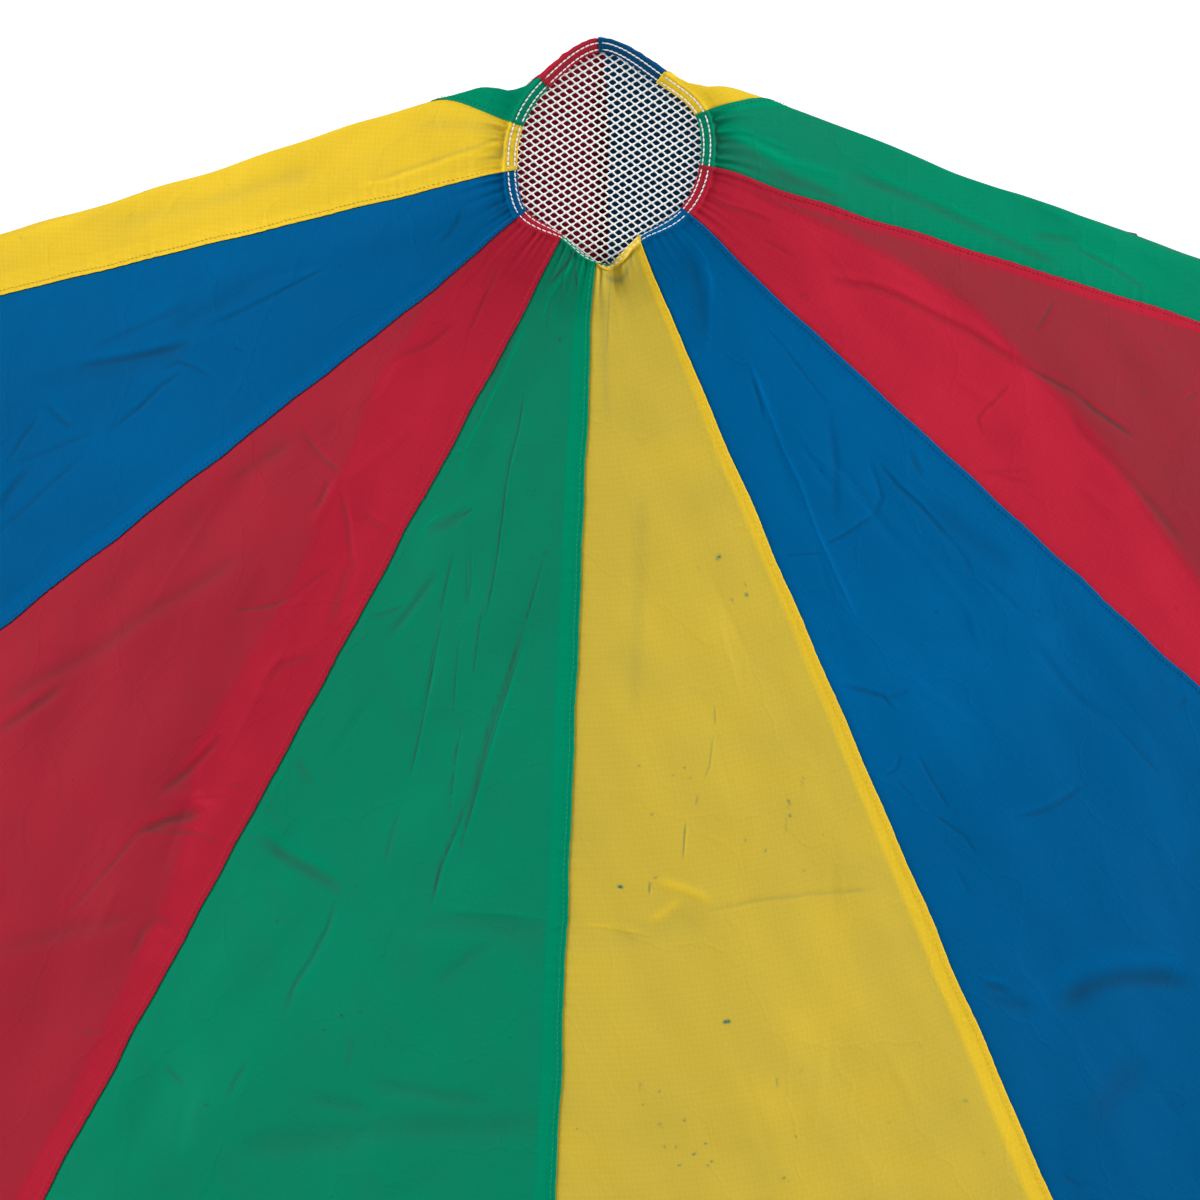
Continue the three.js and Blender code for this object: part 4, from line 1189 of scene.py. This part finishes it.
def new_material(name):
    material = bpy.data.materials.new(name)
    material.use_nodes = True
    return material, material.node_tree, material.node_tree.nodes["Principled BSDF"]


def feed(node, **inputs):
    """Gives inputs a constant, or the output that feeds them. Names have _ for a space, or i and a number."""
    for name, value in inputs.items():
        socket = node.inputs[int(name[1:]) if name[1:].isdigit() else name.replace("_", " ")]
        if isinstance(value, bpy.types.NodeSocket):
            node.id_data.links.new(value, socket)
        else:
            socket.default_value = value


def add_node(tree, kind, settings=None, **inputs):
    node = tree.nodes.new(kind)
    for key, value in (settings or {}).items():
        setattr(node, key, value)
    feed(node, **inputs)
    return node


def calculated(tree, operation, *values, **settings):
    """The output of a math node."""
    inputs = {f"i{i}": value for i, value in enumerate(values)}
    return add_node(tree, "ShaderNodeMath", {"operation": operation, **settings}, **inputs).outputs[0]


def scaled(tree, vector, factor):
    return add_node(tree, "ShaderNodeVectorMath", {"operation": "SCALE"}, i0=vector, Scale=factor).outputs[0]


def ranged(tree, value, low=0.0, high=1.0, to_low=0.0, to_high=1.0, **settings):
    """The output of a node that maps one range of values onto another."""
    ends = {"From_Min": low, "From_Max": high, "To_Min": to_low, "To_Max": to_high}
    return add_node(tree, "ShaderNodeMapRange", settings, Value=value, **ends).outputs[0]


def bumped(tree, shader, height, strength, distance):
    bump = add_node(tree, "ShaderNodeBump", Height=height, Strength=strength, Distance=distance)
    feed(shader, Normal=bump.outputs[0])


def bands(tree, place, direction, pitch, **inputs):
    """Soft stripes with a given pitch in metres."""
    settings = {"wave_type": "BANDS", "bands_direction": direction, "wave_profile": "SIN"}
    scale = 2 * math.pi / 20 / pitch
    return add_node(tree, "ShaderNodeTexWave", settings, Vector=place, Scale=scale, **inputs).outputs["Fac"]


def nylon_group():
    """Plain-woven thin nylon: ribs, squares, grain, crinkles, slow changes of tone, specks of dirt, and the
    painted shade and light of its Tone input, with a grey haze in the painted shade.
    """
    group = bpy.data.node_groups.new("thin_nylon", "ShaderNodeTree")
    for side, kind, names in (
        ("INPUT", "Color", ("Cloth Color", "Haze Color")), ("INPUT", "Float", ("Seed", "Tone")),
        ("OUTPUT", "Color", ("Color",)), ("OUTPUT", "Float", ("Height", "Roughness")),
    ):
        for name in names:
            group.interface.new_socket(name, in_out=side, socket_type=f"NodeSocket{kind}")
    given = add_node(group, "NodeGroupInput").outputs
    uv = add_node(group, "ShaderNodeUVMap", {"uv_map": "cloth"}).outputs["UV"]
    offset = add_node(group, "ShaderNodeCombineXYZ", Z=given["Seed"]).outputs[0]
    place = add_node(group, "ShaderNodeVectorMath", {"operation": "ADD"}, i0=uv, i1=offset).outputs[0]

    def noise(scale, **inputs):
        return add_node(group, "ShaderNodeTexNoise", Vector=place, Scale=scale, **inputs)

    def crossed(operation, pitch, distortion):
        inputs = {"Distortion": distortion, "Detail": 1.0, "Detail_Scale": 30.0}
        return calculated(group, operation, *(bands(group, place, way, pitch, **inputs) for way in "XY"))

    weave = crossed("MULTIPLY", 0.0021, 0.6)
    crinkle = noise(26.0, Detail=5.0, Roughness=0.55)
    strayed = add_node(
        group, "ShaderNodeVectorMath", {"operation": "MULTIPLY_ADD"},
        i0=crinkle.outputs["Color"], i1=(0.05, 0.05, 0.0), i2=place,
    ).outputs[0]
    edges = {"feature": "DISTANCE_TO_EDGE"}
    lines = add_node(group, "ShaderNodeTexVoronoi", edges, Vector=strayed, Scale=9.0).outputs["Distance"]
    fold = ranged(group, lines, high=0.035, interpolation_type="SMOOTHSTEP")
    woven = calculated(group, "MULTIPLY", weave, 0.05)
    height = calculated(group, "MULTIPLY_ADD", crinkle.outputs["Fac"], 1.6, woven)
    height = calculated(group, "MULTIPLY_ADD", fold, 0.22, height)

    shade = ranged(group, noise(4.0, Detail=3.0).outputs["Fac"], 0.3, 0.7, 0.94, 1.05)
    ribs = ranged(group, weave, to_low=0.965, to_high=1.02)
    grain = ranged(group, noise(850.0, Detail=1.0).outputs["Fac"], 0.25, 0.75, 0.95, 1.05)
    squares = ranged(group, crossed("ADD", 0.0052, 0.2), high=2.0, to_low=0.975, to_high=1.025)
    level = calculated(group, "MULTIPLY", shade, calculated(group, "MULTIPLY", grain, squares))
    level = calculated(group, "MULTIPLY", level, ribs)

    dots = add_node(group, "ShaderNodeTexVoronoi", {"feature": "F1"}, Vector=place, Scale=48.0).outputs
    chance = add_node(group, "ShaderNodeSeparateColor", i0=dots["Color"]).outputs["Red"]
    speck = calculated(group, "LESS_THAN", dots["Distance"], ranged(group, chance, 0.86, 1.0, 0.0, 0.05))
    level = calculated(group, "MULTIPLY", level, calculated(group, "MULTIPLY_ADD", speck, -0.38, 1.0))
    # Painted shade and light: the colour is scaled by the tone, and below a tone of 1 the haze colour is
    # added.
    level = calculated(group, "MULTIPLY", level, given["Tone"])
    thin = calculated(group, "SUBTRACT", 1.0, given["Tone"], use_clamp=True)
    hazed = add_node(
        group, "ShaderNodeVectorMath", {"operation": "ADD"},
        i0=scaled(group, given["Cloth Color"], level), i1=scaled(group, given["Haze Color"], thin),
    ).outputs[0]
    rough = ranged(group, crinkle.outputs["Fac"], to_low=0.5, to_high=0.66)
    add_node(group, "NodeGroupOutput", Color=hazed, Height=height, Roughness=rough)
    return group


THIN_NYLON = nylon_group()
CLOTH_COLOURS = {
    "yellow": (0.885, 0.603, 0.036),
    "blue": (0.0, 0.112, 0.31),
    "red": (0.472, 0.0175, 0.041),
    "green": (0.0005, 0.274, 0.142),
}
# The grey haze added with the painted shade, more as the tone falls below 1, so none where a second layer
# backs the cloth
CLOTH_HAZES = {
    "yellow": (0.05, 0.19, 0.13),
    "blue": (0.01, 0.03, 0.05),
    "red": (0.055, 0.055, 0.05),
    "green": (0.035, 0.05, 0.06),
}
SEE_THROUGH = 0.15
CLOTH_SHINE = 0.006


def cloth_material(colour, seed):
    material, tree, shader = new_material(f"nylon_{colour}")
    # The tone attribute brings the painted shade and light into the nylon group.
    nylon = add_node(
        tree, "ShaderNodeGroup", {"node_tree": THIN_NYLON},
        Cloth_Color=(*CLOTH_COLOURS[colour], 1), Haze_Color=(*CLOTH_HAZES[colour], 1), Seed=seed,
        Tone=add_node(tree, "ShaderNodeAttribute", {"attribute_name": "tone"}).outputs["Fac"],
    ).outputs
    bumped(tree, shader, nylon["Height"], 0.55, 0.0016)
    feed(shader, Base_Color=nylon["Color"], Roughness=nylon["Roughness"], Specular_IOR_Level=CLOTH_SHINE)
    through = add_node(tree, "ShaderNodeBsdfTranslucent", Color=nylon["Color"]).outputs[0]
    mix = add_node(tree, "ShaderNodeMixShader", i0=SEE_THROUGH, i1=shader.outputs[0], i2=through)
    feed(tree.nodes["Material Output"], Surface=mix.outputs[0])
    return material


CLOTHS = {colour: cloth_material(colour, 3.7 * i) for i, colour in enumerate(COLOURS)}
for gore, colour in zip(gores, GORE_COLOURS):
    gore.data.materials.append(CLOTHS[colour])


def thread_material(name, colour, roughness=0.6):
    material, tree, shader = new_material(name)
    place = add_node(tree, "ShaderNodeTexCoord").outputs["Object"]
    twist = add_node(tree, "ShaderNodeTexNoise", Vector=place, Scale=1400.0).outputs["Fac"]
    bumped(tree, shader, twist, 0.4, 0.0003)
    tinted = scaled(tree, colour, ranged(tree, twist, to_low=0.86))
    feed(shader, Base_Color=tinted, Roughness=roughness, Specular_IOR_Level=0.3)
    return material


WHITE_THREAD = thread_material("white_thread", (0.9, 0.9, 0.9))
WHITE_YARN = thread_material("net_yarn", (1.0, 1.0, 1.0), 0.55)
for piece in (vent_stitches, rim_stitches, strap_stitches):
    piece.data.materials.append(WHITE_THREAD)
net.data.materials.append(WHITE_YARN)
for colour, piece in seam_stitches.items():
    shade = tuple(0.75 * v + 0.004 for v in CLOTH_COLOURS[colour])
    piece.data.materials.append(thread_material(f"thread_{colour}", shade))


def webbing_material():
    """Black woven webbing: ribs across it, each with a slant to it."""
    material, tree, shader = new_material("black_webbing")
    uv = add_node(tree, "ShaderNodeUVMap", {"uv_map": "cloth"}).outputs["UV"]
    ribs = bands(tree, uv, "Y", 0.0017, Distortion=0.5, Detail_Scale=40.0)
    slants = bands(tree, uv, "DIAGONAL", 0.0021, Distortion=0.8, Detail_Scale=40.0)
    weave = calculated(tree, "ADD", ribs, slants)
    shade = add_node(
        tree, "ShaderNodeMix", {"data_type": "RGBA"}, Factor=calculated(tree, "MULTIPLY", weave, 0.5),
        A=(0.006, 0.006, 0.007, 1), B=(0.022, 0.022, 0.025, 1),
    )
    bumped(tree, shader, weave, 0.6, 0.0004)
    feed(shader, Base_Color=shade.outputs["Result"], Roughness=0.55, Specular_IOR_Level=0.35)
    return material


BLACK_WEBBING = webbing_material()
for strap in straps:
    strap.data.materials.append(BLACK_WEBBING)


# Floor, backdrop, light and camera

SOFT_LIGHT = 0.34


def make_world():
    world = bpy.data.worlds.new("studio")
    bpy.context.scene.world = world
    world.use_nodes = True
    tree = world.node_tree
    soft = tree.nodes["Background"]
    feed(soft, Color=(1, 1, 1, 1), Strength=SOFT_LIGHT)
    white = add_node(tree, "ShaderNodeBackground", Strength=1.0, Color=(1, 1, 1, 1))
    seen = add_node(tree, "ShaderNodeLightPath").outputs["Is Camera Ray"]
    mix = add_node(tree, "ShaderNodeMixShader", i0=seen, i1=soft.outputs[0], i2=white.outputs[0])
    feed(tree.nodes["World Output"], Surface=mix.outputs[0])


FLOOR_SIZE = 12
FLOOR_LIFT = 0.24


def make_floor():
    bm = bmesh.new()
    bmesh.ops.create_grid(bm, x_segments=1, y_segments=1, size=FLOOR_SIZE)
    floor = add_piece(bm, "floor")
    material, tree, shader = new_material("pale_floor")
    path = add_node(tree, "ShaderNodeLightPath").outputs
    seen = calculated(tree, "ADD", path["Is Camera Ray"], path["Is Glossy Ray"])
    seen = calculated(tree, "ADD", seen, path["Is Transmission Ray"])
    lit = calculated(tree, "MULTIPLY", seen, FLOOR_LIFT)
    feed(shader, Base_Color=(0.82, 0.82, 0.82, 1), Roughness=0.9)
    feed(shader, Emission_Color=(1, 1, 1, 1), Emission_Strength=lit)
    floor.data.materials.append(material)


def make_lamp(name, direction, energy, size):
    lamp = bpy.data.lights.new(name, "SUN")
    lamp.energy = energy
    lamp.angle = math.radians(size)
    holder = bpy.data.objects.new(name, lamp)
    holder.rotation_mode = "QUATERNION"
    holder.rotation_quaternion = Vector(direction).to_track_quat("-Z", "Y")
    bpy.context.scene.collection.objects.link(holder)


CAMERA_DISTANCE = 4000.0
PIXELS_PER_VIEW = 1200.0
MM_PER_PIXEL = 0.9
VENT_PIXEL = (607.0, 155.0)


def make_camera():
    camera = bpy.data.cameras.new("camera")
    focal = CAMERA_DISTANCE / MM_PER_PIXEL
    camera.sensor_fit = "HORIZONTAL"
    camera.sensor_width = 36.0
    camera.lens = focal / PIXELS_PER_VIEW * camera.sensor_width
    camera.clip_end = 100
    holder = bpy.data.objects.new("camera", camera)
    pitch = math.atan((PIXELS_PER_VIEW / 2 - VENT_PIXEL[1]) / focal)
    yaw = math.atan((VENT_PIXEL[0] - PIXELS_PER_VIEW / 2) / focal * math.cos(pitch))
    forward = -FACE * math.cos(pitch) - UP * math.sin(pitch)
    upward = UP * math.cos(pitch) - FACE * math.sin(pitch)
    look = forward * math.cos(yaw) - RIGHT * math.sin(yaw)
    aside = RIGHT * math.cos(yaw) + forward * math.sin(yaw)
    turned = Matrix(np.stack([aside, upward, -look], 1).tolist()).to_4x4()
    holder.matrix_world = Matrix.Translation(Vector((VENT_CENTRE + FACE * CAMERA_DISTANCE) * MM)) @ turned
    bpy.context.scene.collection.objects.link(holder)
    bpy.context.scene.camera = holder


make_world()
make_floor()
make_lamp("left_key", (0.93, 0.02, -0.40), 3.3, 32)
make_lamp("right_key", (-0.93, 0.02, -0.40), 3.3, 32)
make_camera()
bpy.context.scene.view_settings.view_transform = "Standard"
